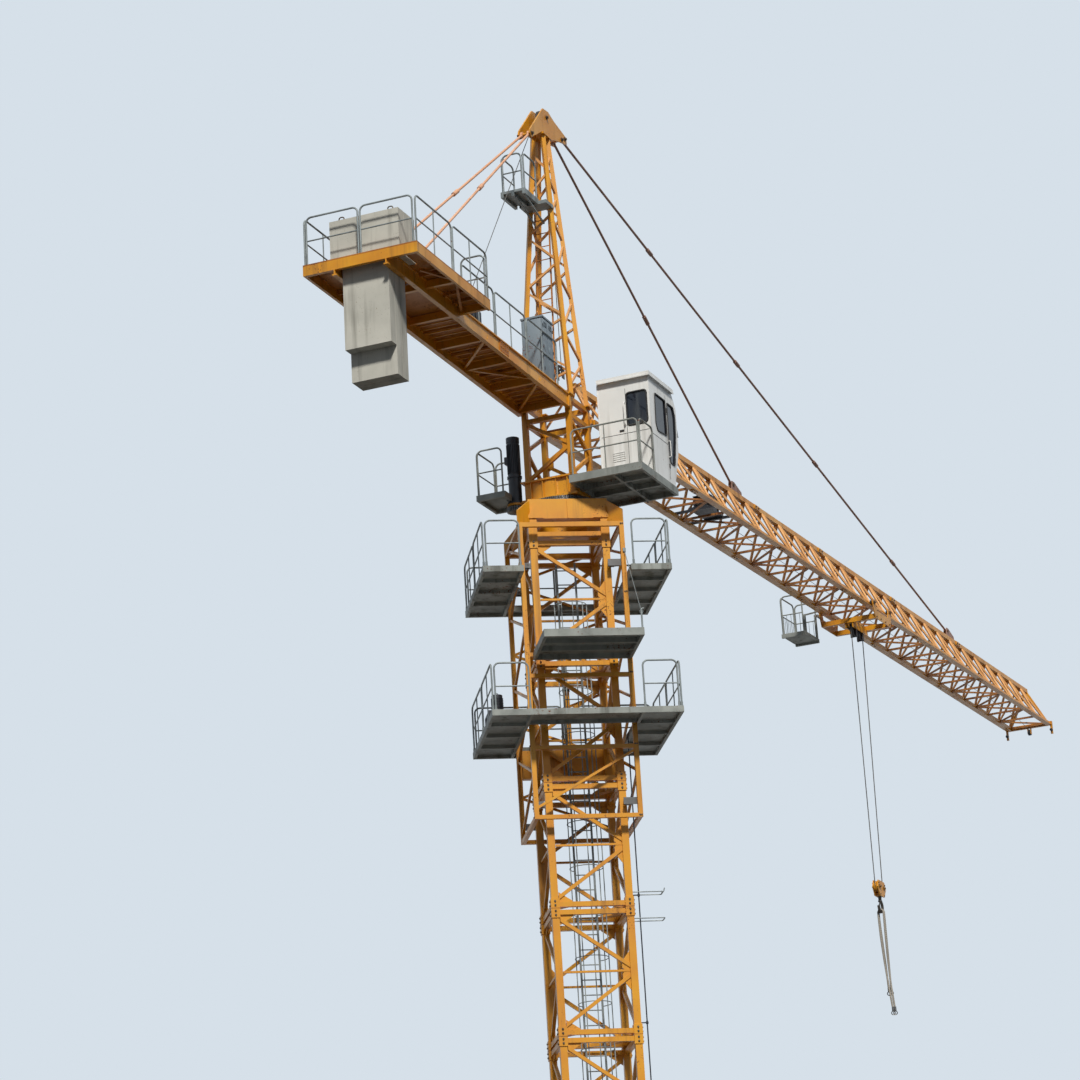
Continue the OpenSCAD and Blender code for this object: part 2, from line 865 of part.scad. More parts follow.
module rear_deck() {
  z0 = rear_beam_h;
  z1 = z0 + rear_plate;
  color(steel) in_rear() {
    block([rear_root + 5, -rear_beam_y + rear_beam_w / 2, z0 - 30], [rear_wide, rear_beam_y - rear_beam_w / 2, z0 - 30 + rear_plate]);
    for (x = [rear_root + 60, cross_x[1] + 300, cross_x[2] + 320, cross_x[3] + 320])
      block([x, -rear_beam_y + 6, z0 - 60], [x + 26, rear_beam_y - 6, z0 - 30]);
    block([rear_wide, -rear_half - 14, z0], [slab_x0 - 12, rear_half + 14, z1]);
    for (s = [-1, 1])
      block([slab_x0 - 12, min(s * (slab_out + 8), s * (rear_half + 14)), z0],
            [rear_reach, max(s * (slab_out + 8), s * (rear_half + 14)), z1]);
    block([slab_x1 + 12, -slab_out - 8, z0], [rear_reach, slab_out + 8, z1]);
  }
}

module rear_rails() {
  z = rear_beam_h + rear_plate;
  half = rear_half;
  color(steel) in_rear() {
    for (s = [-1, 1]) {
      guard([rear_wide + 20, s * half], [rear_wide + 790, s * half], z);
      guard([rear_wide + 815, s * half], [rear_reach - 26, s * half], z);
      guard([rear_wide + 12, s * (half - 26)], [rear_wide + 12, s * (rear_beam_y + 40)], z);
      for (x = [560, 1330, 2100])
        guard([x, s * (rear_beam_y + 10)], [x + 745, s * (rear_beam_y + 10)], rear_beam_h);
    }
    guard([rear_reach - 14, -half + 26], [rear_reach - 14, -12], z);
    guard([rear_reach - 14, 12], [rear_reach - 14, half - 26], z);
  }
}

module hoist_winch() {
  z = rear_beam_h - 30 + rear_plate;
  color(dark) in_rear() translate([rear_wide - 660, 0, 0]) {
    block([-190, -220, z], [580, 220, z + 40]);
    for (y = [-190, 130])
      block([-100, y, z + 40], [100, y + 24, z + 260]);
    translate([0, -166, z + 190])
      rotate([-90, 0, 0])
        cylinder(r = 110, h = 296);
    for (y = [-166, 106])
      translate([0, y, z + 190])
        rotate([-90, 0, 0])
          cylinder(r = 138, h = 24);
    block([180, -190, z + 40], [360, 10, z + 210]);
    translate([360, -90, z + 130])
      rotate([0, 90, 0])
        cylinder(r = 75, h = 200);
  }
}

module cabinet() {
  z = rear_beam_h;
  color(steel) in_rear() {
    block([615, 40, z], [870, 262, z + 635]);
    block([605, 30, z + 635], [880, 272, z + 653]);
    for (x = [625, 820])
      block([x, 50, z - 30 + rear_plate], [x + 40, 90, z]);
  }
}

module counterweights() {
  color(stone) in_rear()
    for (k = [0:2]) {
      x = slab_x0 + k * (slab_t + slab_gap);
      block([x, -slab_in, slab_low[k]], [x + slab_t, slab_in, slab_top]);
      block([x, -slab_out, rear_beam_h], [x + slab_t, slab_out, slab_top]);
      for (s = [-1, 1])
        block([x + 60, s * 130 - 30, slab_top], [x + slab_t - 60, s * 130 + 30, slab_top + 34]);
    }
}

tie_x = slab_x0 - 112;
tie_d = 26;
eye_d = 60;
tie_seat = rear_beam_h + rear_plate;

// eye at the end of a tie, bored for the head's pins where bored is true
module tie_eye(p, bored) {
  translate(p + [0, -12, 0])
    rotate([-90, 0, 0])
      difference() {
        cylinder(d = eye_d, h = 24);
        if (bored)
          translate([0, 0, -1])
            cylinder(d = pin_d + 2 * gap, h = 26);
      }
}

// tie bar from the head's pin at p to a bracket at e, with joint sleeves at shares u
module tie(p, e, steps) {
  v = (e - p) / norm(e - p);
  rod(p + v * 24, e - v * 10, tie_d);
  for (u = steps)
    rod(p + (e - p) * u - v * 60, p + (e - p) * u + v * 60, tie_d * 1.7);
  tie_eye(p, true);
  tie_eye(e, false);
}

module rear_ties() {
  color(pale)
    for (s = [-1, 1])
      tie([rear_pin[0], -s * (head_half - 24), rear_pin[2]],
          from_rear([tie_x, s * rear_beam_y, tie_seat + 56]), [0.44]);
  color(pale) in_rear()
    for (s = [-1, 1])
      for (o = [-17, 17])
        plate(s * rear_beam_y + o, 10, [[tie_x - 80, tie_seat], [tie_x + 80, tie_seat],
                                        [tie_x + 30, tie_seat + 90], [tie_x - 30, tie_seat + 90]]);
}

cab_x = 0;
cab_y = -470;
cab_z = 13290;
cab_wall = 18;
nose = 0.72;

// side outline of the cab, drawn in by g all round
module cab_outline(g) {
  polygon([[g, g], [cab_l * 0.77 - g, g], [cab_l - g, cab_h * 0.42], [cab_l - g, cab_h * 0.86 - g / 2],
           [cab_l * 0.86 - g / 2, cab_h - g], [g, cab_h - g]]);
}

module cab_solid(g) {
  translate([cab_x, cab_y - g, cab_z])
    rotate([90, 0, 0])
      linear_extrude(height = cab_w - 2 * g)
        cab_outline(g);
}

// rounded opening in the X-Z plane that cuts through one side of the cab
module pane(points, y) {
  translate([cab_x, y, cab_z])
    rotate([90, 0, 0])
      linear_extrude(height = 60, center = true)
        polygon(points);
}

module cab_openings() {
  for (y = [cab_y, cab_y - cab_w]) {
    pane([[130, 570], [170, 500], [420, 520], [430, 560], [430, 900], [150, 900]], y);
    pane([[470, 245], [600, 245], [680, 600], [690, 800], [650, 895], [480, 895]], y);
  }
  // rear pane, with round corners
  translate([cab_x, cab_y - cab_w + 30, cab_z + 550])
    rotate([90, 0, 90])
      translate([0, 0, -30]) {
        block([30, 0, 0], [190, 350, 60]);
        block([0, 30, 0], [220, 320, 60]);
        for (x = [30, 190], y = [30, 320])
          translate([x, y, 0])
            cylinder(r = 30, h = 60);
      }
  // front panes
  block([cab_x + cab_l - 40, cab_y - cab_w + 50, cab_z + cab_h * 0.45],
        [cab_x + cab_l + 20, cab_y - 50, cab_z + cab_h * 0.84]);
  translate([cab_x + cab_l * 0.77, 0, cab_z])
    rotate([0, atan2(cab_l * 0.23, cab_h * 0.42), 0])
      block([-40, cab_y - cab_w + 50, 60], [40, cab_y - 50, 380]);
}

module cab_shell() {
  color(white) {
    difference() {
      cab_solid(0);
      cab_solid(cab_wall);
      cab_openings();
    }
    block([cab_x - 36, cab_y - cab_w - 22, cab_z + cab_h], [cab_x + cab_l * 0.87, cab_y - 8, cab_z + cab_h + 42]);
  }
}

module cab_glass() {
  color([0.2, 0.25, 0.28, 0.35]) intersection() {
    difference() {
      cab_solid(6);
      cab_solid(12);
    }
    cab_openings();
  }
}

module cab_seat() {
  y = cab_y - cab_w / 2;
  z = cab_z + cab_wall;
  color(dark) {
    translate([cab_x + 230, y, z])
      cylinder(h = 120, d = 70);
    block([cab_x + 120, y - 115, z + 120], [cab_x + 340, y + 115, z + 190]);
    block([cab_x + 110, y - 110, z + 190], [cab_x + 160, y + 110, z + 560]);
    for (s = [-1, 1])
      block([cab_x + 190, y + s * 160 - 35, z], [cab_x + 400, y + s * 160 + 35, z + 300]);
  }
}

walk_z = cab_z - 6;

module cab_deck() {
  y1 = -support_face;
  color(steel) difference() {
    cab_deck_body(y1);
    translate([0, 0, upper_z])
      cylinder(r = race_r - 8 + gap, h = upper_h);
  }
}

module cab_deck_body(y1) {
  union() {
    block([cab_x - 420, cab_y - cab_w - 30, walk_z - deck_t], [cab_x + cab_l * 0.77, y1, walk_z]);
    for (x = [cab_x - 420, cab_x - 130, cab_x + 160, cab_x + cab_l * 0.77 - joist])
      block([x, cab_y - cab_w - 30, walk_z - 80], [x + joist, y1, walk_z - deck_t]);
    for (y = [cab_y - cab_w - 30, cab_y - cab_w / 2, y1 - joist])
      block([cab_x - 420, y, walk_z - 80], [cab_x + cab_l * 0.77, y + joist, walk_z - deck_t]);
    block([cab_x, cab_y - cab_w, walk_z], [cab_x + cab_l * 0.77, cab_y, cab_z]);
    guard([cab_x - 404, cab_y - cab_w], [cab_x - 404, y1 - 40], walk_z);
    guard([cab_x - 388, cab_y - cab_w - 14], [cab_x - 30, cab_y - cab_w - 14], walk_z);
  }
}

rail_w = 26;
rail_t = 8;

module jib_bottom_chord(s) {
  y = s * jib_w / 2;
  block([jib_root, y - jib_chord / 2, -jib_chord / 2], [jib_reach, y + jib_chord / 2, jib_chord / 2]);
}

module jib_top_chord() {
  block([jib_root + jib_pitch / 2 - 40, -top_chord / 2, jib_high - top_chord / 2],
        [jib_reach, top_chord / 2, jib_high + top_chord / 2]);
}

// chords, with the runway ledges of the trolley and the root lugs on the bottom ones
module jib_chords() {
  out = (jib_w + jib_chord) / 2;
  color(yellow) {
    in_jib() {
      for (s = [-1, 1]) {
        jib_bottom_chord(s);
        block([jib_root + 60, min(s * out, s * (out + rail_w)), -jib_chord / 2],
              [jib_reach, max(s * out, s * (out + rail_w)), -jib_chord / 2 + rail_t]);
      }
      jib_top_chord();
    }
    difference() {
      in_jib()
        for (s = [-1, 1])
          block([jib_root - 60, s * 265 - 22, -22], [jib_root + 4, s * 265 + 22, 22]);
      block([0, -400, jib_z - 200], [post_out, 400, jib_z + 200]);
    }
  }
}

// one sloping side of the jib
module jib_side(s) {
  difference() {
    for (k = [0:jib_bays - 1]) {
      x0 = jib_root + k * jib_pitch;
      a = [x0 + 18, s * jib_w / 2, 0];
      b = [x0 + jib_pitch / 2, 0, jib_high];
      c = [x0 + jib_pitch - 18, s * jib_w / 2, 0];
      bar(a, b - [9, 0, 0], jib_bar, jib_bar);
      bar(b + [9, 0, 0], c, jib_bar, jib_bar);
    }
    jib_bottom_chord(s);
    jib_top_chord();
    block([jib_root, -s * 100 - 100, 0], [jib_reach, -s * 100 + 100, jib_high + 100]);
  }
}

module jib_left() {
  color(pale) in_jib() jib_side(1);
}

module jib_right() {
  color(pale) in_jib() jib_side(-1);
}

module jib_bottom() {
  y = (jib_w - jib_chord) / 2;
  color(pale) in_jib() intersection() {
    for (k = [0:jib_bays]) {
      x0 = jib_root + k * jib_pitch;
      x = k == 0 ? x0 + 18 : (k == jib_bays ? x0 - 14 : x0);
      s = k % 2 == 0 ? 1 : -1;
      block([x - 12, -y, -12], [x + 12, y, 12]);
      if (k < jib_bays)
        bar([x0 + 6, -s * (y + 6), 0], [x0 + jib_pitch - 6, s * (y + 6), 0], 20, 20);
    }
    block([jib_root + 5, -y, -30], [jib_reach, y, 30]);
  }
}

stop_h = 125;

// end frame of the jib, with the hanging stops and the rope sheave
module jib_tip() {
  out = jib_w / 2 + 60;
  color(yellow) in_jib() {
    difference() {
      union() {
        block([jib_reach, -out, -28], [jib_reach + 40, out, 28]);
        for (s = [-1, 1])
          bar([jib_reach + 20, s * jib_w / 2, 0], [jib_reach + 20, 0, jib_high], 36, 36);
        block([jib_reach, -30, jib_high - 29], [jib_reach + 40, 30, jib_high + 29]);
        for (s = [-1, 1])
          block([jib_reach + 4, s * (out - 14) - 14, -28 - stop_h], [jib_reach + 36, s * (out - 14) + 14, -28]);
      }
      block([jib_reach - 60, -400, -400], [jib_reach, 400, jib_high + 200]);
    }
    for (s = [-1, 1])
      block([jib_reach, s * 22 - 5, -110], [jib_reach + 40, s * 22 + 5, -28]);
    translate([jib_reach + 20, -17, -85])
      rotate([-90, 0, 0])
        cylinder(r = 42, h = 34);
  }
}

tie_in_x = 5250;
tie_out_x = 13420;
bracket_l = 260;
tie_pin_h = 100;
bracket_z = jib_high + top_chord / 2;

module jib_ties() {
  color(pale) {
    tie(jib_pins[0] + [0, -30, 0], from_jib([tie_out_x, 0, jib_high + tie_pin_h]), [0.19, 0.398, 0.605, 0.83]);
    tie(jib_pins[1] + [0, 30, 0], from_jib([tie_in_x, 0, jib_high + tie_pin_h]), [0.5]);
  }
  color(pale) in_jib()
    for (x = [tie_in_x, tie_out_x])
      for (o = [-17, 17])
        plate(o, 10, [[x - 70, bracket_z], [x + bracket_l, bracket_z], [x + bracket_l, bracket_z + 40],
                      [x + 40, jib_high + tie_pin_h + 40], [x - 40, jib_high + tie_pin_h + 40]]);
}

winch_x = 4300;

module trolley_winch() {
  z = jib_chord / 2;
  color(dark) in_jib() {
    block([winch_x - 260, -jib_w / 2, z], [winch_x - 220, jib_w / 2, z + 24]);
    block([winch_x + 220, -jib_w / 2, z], [winch_x + 260, jib_w / 2, z + 24]);
    block([winch_x - 260, -110, z + 24], [winch_x + 260, 110, z + 44]);
    for (y = [-108, 90])
      block([winch_x - 100, y, z + 44], [winch_x + 60, y + 18, z + 200]);
    translate([winch_x - 20, -90, z + 140])
      rotate([-90, 0, 0])
        cylinder(r = 80, h = 180);
    block([winch_x + 90, -70, z + 44], [winch_x + 240, 70, z + 180]);
  }
}

trolley_l = 720;
wheel_r = 34;
wheel_y = jib_w / 2 + jib_chord / 2;
frame_y = wheel_y + rail_w + 14;
wheel_z = -jib_chord / 2 + rail_t + gap + wheel_r;
wheel_w = 20;

frame_low = -175;
frame_span = 290;

module trolley_frame() {
  t = 10;
  half = trolley_l / 2;
  color(yellow) in_jib() translate([trolley_at, 0, 0]) {
    for (s = [-1, 1])
      plate(s * (frame_y + t / 2), t,
            [[-half, 60], [-half, 0], [-frame_span, frame_low], [frame_span, frame_low], [half, 0], [half, 60],
             [half - 110, 60], [half - 150, -70], [150 - half, -70], [110 - half, 60]]);
    for (x = [-frame_span, frame_span - 50])
      block([x, -frame_y, frame_low], [x + 50, frame_y, frame_low + 60]);
    for (s = [-1, 1])
      block([-frame_span + 10, s * 46 - 6, frame_low - 60], [frame_span - 10, s * 46 + 6, frame_low + 50]);
  }
}

module trolley_wheels() {
  color(dark) in_jib() translate([trolley_at, 0, wheel_z])
    for (x = [-1, 1], s = [-1, 1])
      translate([x * (trolley_l / 2 - 50), s * (wheel_y + 16), 0])
        rotate([90, 0, 0]) {
          cylinder(r = wheel_r, h = wheel_w, center = true);
          translate([0, 0, s < 0 ? 0 : -24])
            cylinder(d = 20, h = 24);
        }
}

sheave_r = 92;
sheave_rim = 6;
sheave_z = -215;
rope_d = 12;
fall_top = 215;
fall_low = 142;

// grooved rope sheave lying across y, r to the rope's centre line
module sheave(r, w) {
  rotate([90, 0, 0])
    difference() {
      cylinder(r = r + sheave_rim, h = w, center = true);
      rotate_extrude()
        translate([r, 0])
          circle(d = rope_d + 2 * gap);
      difference() {
        cylinder(r = r + sheave_rim + 1, h = rope_d + 2 * gap, center = true);
        cylinder(r = r, h = rope_d + 2, center = true);
      }
    }
}

module trolley_sheaves() {
  color(dark) in_jib() translate([trolley_at, 0, sheave_z])
    for (x = [-1, 1])
      translate([x * (fall_top - sheave_r), 0, 0]) {
        sheave(sheave_r, 34);
        rotate([90, 0, 0])
          cylinder(d = 26, h = 2 * (46 - 6), center = true);
      }
}

basket_x0 = -860;
basket_x1 = -330;
basket_y0 = frame_y + 40;
basket_y1 = 690;
basket_z = -330;

module trolley_basket() {
  color(steel) in_jib() translate([trolley_at, 0, 0]) {
    block([basket_x0, basket_y0, basket_z - deck_t], [basket_x1, basket_y1, basket_z]);
    for (x = [basket_x0, basket_x1 - joist])
      block([x, basket_y0, basket_z - 50], [x + joist, basket_y1, basket_z - deck_t]);
    guard([basket_x0 + 14, basket_y0 + 16], [basket_x0 + 14, basket_y1 - 26], basket_z);
    guard([basket_x0 + 30, basket_y1 - 14], [basket_x1 - 30, basket_y1 - 14], basket_z);
    guard([basket_x1 - 14, basket_y1 - 26], [basket_x1 - 14, basket_y0 + 16], basket_z);
    block([basket_x1 - 60, basket_y0, basket_z], [basket_x1 - 30, basket_y0 + 24, -30]);
    block([basket_x1 - 60, frame_y + 10, -60], [basket_x1 - 30, basket_y0 + 24, -30]);
    block([basket_x1 - 60, frame_y + 10, -60], [-260, frame_y + 34, -30]);
    block([basket_x0 + 60, basket_y0, basket_z], [basket_x0 + 84, basket_y0 + 24, -110]);
    difference() {
      bar([basket_x0 + 72, basket_y0 + 12, -120], [25 - trolley_l / 2, frame_y - 10, 22], 20, 20);
      block([-trolley_l, frame_y - 60, -200], [trolley_l, frame_y + 10, 200]);
    }
  }
}

falls = from_jib([trolley_at, 0, sheave_z]);
hook_z = falls[2] - hook_drop;
block_sheave_r = 62;
cheek_y = 30;
cheek_t = 14;
hook_bore = 16;
cross_top = -74;
cross_low = -110;

module hoist_ropes() {
  color(steel)
    for (s = [-1, 1])
      rod([falls[0] + s * fall_top, 0, falls[2]], [falls[0] + s * fall_low, 0, hook_z], rope_d);
}

// two sheaves between cheek plates, over a bored crosshead
module hook_block() {
  inner = cheek_y - cheek_t / 2;
  color(yellow) translate([falls[0], 0, hook_z]) {
    for (s = [-1, 1])
      plate(s * cheek_y, cheek_t, [[-152, -10], [-108, 76], [108, 76], [152, -10], [84, -112], [-84, -112]]);
    for (x = [-1, 1])
      translate([x * (fall_low - block_sheave_r), 0, 0]) {
        sheave(block_sheave_r, 34);
        rotate([90, 0, 0])
          cylinder(d = 36, h = 2 * cheek_y + 34, center = true);
      }
    difference() {
      block([-60, -inner, cross_low], [60, inner, cross_top]);
      translate([0, 0, cross_low - 1])
        cylinder(r = hook_bore, h = 40);
    }
  }
}

bowl_r = 50;
bowl_band = 30;
bowl_t = 30;
bowl_z = -236;

// swivelling hook: nut above the crosshead, shank, collar and the bent part
module hook() {
  color(dark) translate([falls[0], 0, hook_z]) {
    translate([0, 0, bowl_z + bowl_r + 10])
      cylinder(r = hook_bore - gap / 4, h = cross_top + 14 - bowl_z - bowl_r - 10);
    translate([0, 0, cross_top + gap])
      cylinder(r = 21, h = 14);
    translate([0, 0, bowl_z + bowl_r + 16])
      cylinder(r = 20, h = cross_low - gap - bowl_z - bowl_r - 16);
    translate([0, 0, bowl_z])
      rotate([90, 0, 0])
        difference() {
          cylinder(r = bowl_r + bowl_band, h = bowl_t, center = true);
          cylinder(r = bowl_r, h = bowl_t + 2, center = true);
          for (a = [0, 180])
            rotate([a, 0, 0])
              translate([0, 0, bowl_t / 2 - 10])
                cylinder(r1 = bowl_r, r2 = bowl_r + 11, h = 11);
          translate([-bowl_r - 60, 6, -bowl_t])
            cube([bowl_r + 36, 110, 2 * bowl_t]);
        }
  }
}

sling_d = 24;
sling_x = 13;
saddle = bowl_z - sqrt(pow(bowl_r - sling_d / 2 - 0.4, 2) - sling_x * sling_x);

// turn of a sling over the hook's seat, from one flank to the other
function over_hook(x) = [
  [x, -34, saddle - 30], [x, -25, saddle - 12], [x, -10, saddle - 1.2], [x, 0, saddle],
  [x, 10, saddle - 1.2], [x, 25, saddle - 12], [x, 34, saddle - 30]
];

// routes of the two slings, from one hanging end over the hook to the other
long_sling = concat(
  [[-60, -90, -1520], [-48, -60, -1200], [-34, -44, -900], [-22, -36, -600], [-14, -34, -360]],
  over_hook(-sling_x),
  [[-14, 34, -360], [-24, 24, -600], [-38, 0, -900], [-52, -30, -1200], [-66, -66, -1520]]);
short_sling = concat(
  [[30, -34, -1260], [24, -34, -900], [18, -34, -600], [14, -34, -360]],
  over_hook(sling_x),
  [[14, 34, -360], [20, 24, -600], [30, 12, -900], [44, 0, -1260]]);
sling_sides = 8;

function unit(v) = v / norm(v);

// point k of the ring at point i of a route
function ring_point(route, i, k) =
  let (a = route[max(i - 1, 0)], b = route[min(i + 1, len(route) - 1)],
       w = unit(cross(unit(b - a), [1, 0, 0])), t = 360 * k / sling_sides + 22.5)
    route[i] + sling_d / 2 * (cos(t) * [1, 0, 0] + sin(t) * w);

// round tube swept along a route
module tube(route) {
  n = len(route);
  m = sling_sides;
  polyhedron(
    points = [for (i = [0:n - 1], k = [0:m - 1]) ring_point(route, i, k)],
    faces = concat([[for (k = [m - 1:-1:0]) k]], [[for (k = [0:m - 1]) (n - 1) * m + k]],
                   [for (i = [0:n - 2], k = [0:m - 1])
                      [i * m + k, i * m + (k + 1) % m, (i + 1) * m + (k + 1) % m, (i + 1) * m + k]]));
}

module slings() {
  color(stone) translate([falls[0], 0, hook_z]) {
    tube(long_sling);
    tube(short_sling);
  }
}

base_frame();
mast_chords();
mast_front();
mast_rear();
mast_left();
mast_right();
mast_ladder();
cage_legs();
cage_left();
cage_right();
cage_rear();
cage_front();
cage_beam();
cage_ram();
cage_decks();
cage_rails();
pump_unit();
lower_support();
ring_gear();
ring_inner();
slew_pinion();
upper_support();
slew_drive();
tower_posts();
tower_bracing();
side_deck();
cap_legs();
cap_sides();
cap_ends();
cap_head();
head_pulley();
cap_rest();
rear_beams();
rear_deck();
rear_rails();
hoist_winch();
cabinet();
counterweights();
rear_ties();
cab_shell();
cab_glass();
cab_seat();
cab_deck();
jib_chords();
jib_left();
jib_right();
jib_bottom();
jib_tip();
jib_ties();
trolley_winch();
trolley_frame();
trolley_basket();
trolley_wheels();
trolley_sheaves();
hoist_ropes();
hook_block();
hook();
slings();
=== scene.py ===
"""Tower crane at half size: finishes, fittings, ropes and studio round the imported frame."""

import json
import logging
import math
from dataclasses import dataclass
from enum import Enum
from typing import Iterable, Sequence

import bmesh
import bpy
from mathutils import Matrix, Vector

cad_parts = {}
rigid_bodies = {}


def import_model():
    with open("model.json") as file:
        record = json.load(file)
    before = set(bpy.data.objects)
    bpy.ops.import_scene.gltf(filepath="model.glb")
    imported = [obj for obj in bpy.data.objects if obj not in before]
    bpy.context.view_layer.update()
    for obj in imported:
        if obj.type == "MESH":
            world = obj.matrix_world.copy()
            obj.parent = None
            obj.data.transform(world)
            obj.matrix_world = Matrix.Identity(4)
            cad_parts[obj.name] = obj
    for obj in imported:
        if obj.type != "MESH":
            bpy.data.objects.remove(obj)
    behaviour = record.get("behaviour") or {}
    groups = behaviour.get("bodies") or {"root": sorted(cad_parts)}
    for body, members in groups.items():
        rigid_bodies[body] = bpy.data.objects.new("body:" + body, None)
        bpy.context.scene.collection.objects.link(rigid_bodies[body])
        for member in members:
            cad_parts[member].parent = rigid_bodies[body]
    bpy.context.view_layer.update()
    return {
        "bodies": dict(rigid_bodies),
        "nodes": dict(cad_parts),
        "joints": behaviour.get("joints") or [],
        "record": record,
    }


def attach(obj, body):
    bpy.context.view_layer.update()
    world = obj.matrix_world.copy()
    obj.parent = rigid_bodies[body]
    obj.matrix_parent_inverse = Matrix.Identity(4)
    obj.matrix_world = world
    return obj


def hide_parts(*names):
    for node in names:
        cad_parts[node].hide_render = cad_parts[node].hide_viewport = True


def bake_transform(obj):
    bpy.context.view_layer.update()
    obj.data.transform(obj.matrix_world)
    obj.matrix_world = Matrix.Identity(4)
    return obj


log = logging.getLogger("crane")

MM = 0.001
CREASE = math.radians(35.0)
COAT_ROUGH = 0.25
GLASS_IOR = 1.5

Point = Sequence[float]
Colour = tuple[float, float, float]


class Body(str, Enum):
    """Rigid bodies that a piece may ride on."""

    MAST = "mast_body"
    TOP = "crane_top"
    TROLLEY = "trolley"
    BLOCK = "block_body"
    HOOK = "hook_body"


class Slot(str, Enum):
    """Material slots of the record."""

    YELLOW = "yellow_paint"
    PALE = "pale_paint"
    ZINC = "galvanised"
    DARK = "dark_steel"
    WHITE = "white_paint"
    STONE = "concrete"
    ROPE = "rope"
    GLASS = "glass"
    FABRIC = "fabric"
    SLING = "sling"


def turned(degrees: float, axis: str) -> Matrix:
    """Rotation by degrees about a named axis."""
    return Matrix.Rotation(math.radians(degrees), 4, axis)


def moved(x: float, y: float, z: float) -> Matrix:
    """Translation by a distance in millimetres."""
    return Matrix.Translation((x * MM, y * MM, z * MM))


CRANE = Matrix.Identity(4)
MAST = turned(-59.0, "Z")
JIB = moved(0, 0, 14055) @ turned(-2.1, "Y")
REAR = moved(0, 0, 14040) @ turned(180.0, "Z") @ turned(-1.1, "Y")


def in_frame(place: Matrix, point: Point) -> Vector:
    """Point of a frame, given in millimetres, in the crane's frame in metres."""
    return place @ (Vector(point) * MM)


def toward(way: Vector) -> Matrix:
    """Rotation that turns +Z to a direction."""
    return way.to_track_quat("Z", "Y").to_matrix().to_4x4()


def rounded(route: Sequence[Point], radius: float, steps: int = 4) -> list[Vector]:
    """Route whose inner corners are drawn as arcs.

    Args:
        route: Corner points in millimetres.
        radius: Distance from a corner at which its arc starts.
        steps: Segments in each arc.

    Returns:
        The points of the rounded route.
    """
    points = [Vector(p) for p in route]
    out = [points[0]]
    for before, corner, after in zip(points, points[1:], points[2:]):
        a = corner + (before - corner).normalized() * min(radius, (before - corner).length * 0.49)
        b = corner + (after - corner).normalized() * min(radius, (after - corner).length * 0.49)
        for i in range(steps + 1):
            t = i / steps
            out.append(a * (1 - t) ** 2 + corner * 2 * t * (1 - t) + b * t * t)
    out.append(points[-1])
    return out


def arc(centre: Point, radius: float, start: float, end: float, steps: int) -> list[Vector]:
    """Points of a level arc round a centre, in millimetres, from start to end degrees."""
    turns = [math.radians(start + (end - start) * i / steps) for i in range(steps + 1)]
    return [Vector(centre) + radius * Vector((math.cos(t), math.sin(t), 0)) for t in turns]


class Graph:
    """Shader node tree being wired."""

    def __init__(self, tree: bpy.types.NodeTree) -> None:
        """Keeps the tree."""
        self.tree = tree

    def add(self, kind: str, inputs: dict | None = None, **settings: object) -> bpy.types.Node:
        """Adds a node.

        Args:
            kind: Blender's name of the node type.
            inputs: Values or output sockets for the named or numbered inputs.
            settings: Attributes of the node.

        Returns:
            The node.
        """
        node = self.tree.nodes.new(kind)
        for name, value in settings.items():
            setattr(node, name, value)
        for name, value in (inputs or {}).items():
            if isinstance(value, bpy.types.NodeSocket):
                self.tree.links.new(value, node.inputs[name])
            else:
                node.inputs[name].default_value = value
        return node

    def blend(self, share: object, first: object, second: object) -> bpy.types.NodeSocket:
        """Mixes two colours by a share and returns the result."""
        node = self.add("ShaderNodeMix", data_type="RGBA")
        for socket, value in ((node.inputs[0], share), (node.inputs[6], first), (node.inputs[7], second)):
            if isinstance(value, bpy.types.NodeSocket):
                self.tree.links.new(value, socket)
            else:
                socket.default_value = value
        return node.outputs[2]

    def spread(self, value: bpy.types.NodeSocket, low: float, high: float,
               to_low: float = 0.0, to_high: float = 1.0) -> bpy.types.NodeSocket:
        """Maps a value from one range to another, clamped."""
        node = self.add("ShaderNodeMapRange", {0: value, 1: low, 2: high, 3: to_low, 4: to_high})
        return node.outputs[0]

    def maths(self, operation: str, first: object, second: object) -> bpy.types.NodeSocket:
        """Joins two values by an operation."""
        return self.add("ShaderNodeMath", {0: first, 1: second}, operation=operation).outputs[0]

    def spot(self) -> bpy.types.NodeSocket:
        """Object coordinates of the shaded point."""
        return self.add("ShaderNodeTexCoord").outputs["Object"]

    def noise(self, spot: bpy.types.NodeSocket, scale: object, detail: float,
              rough: float = 0.5) -> bpy.types.NodeSocket:
        """Noise of a scale, a detail and a roughness, from 0 to 1."""
        return self.add("ShaderNodeTexNoise", {"Vector": spot, "Scale": scale, "Detail": detail,
                                               "Roughness": rough}).outputs[0]


def new_material(name: str) -> tuple[bpy.types.Material, Graph]:
    """Material with an empty node tree, and a graph on that tree."""
    made = bpy.data.materials.new(name)
    made.use_nodes = True
    made.node_tree.nodes.clear()
    return made, Graph(made.node_tree)


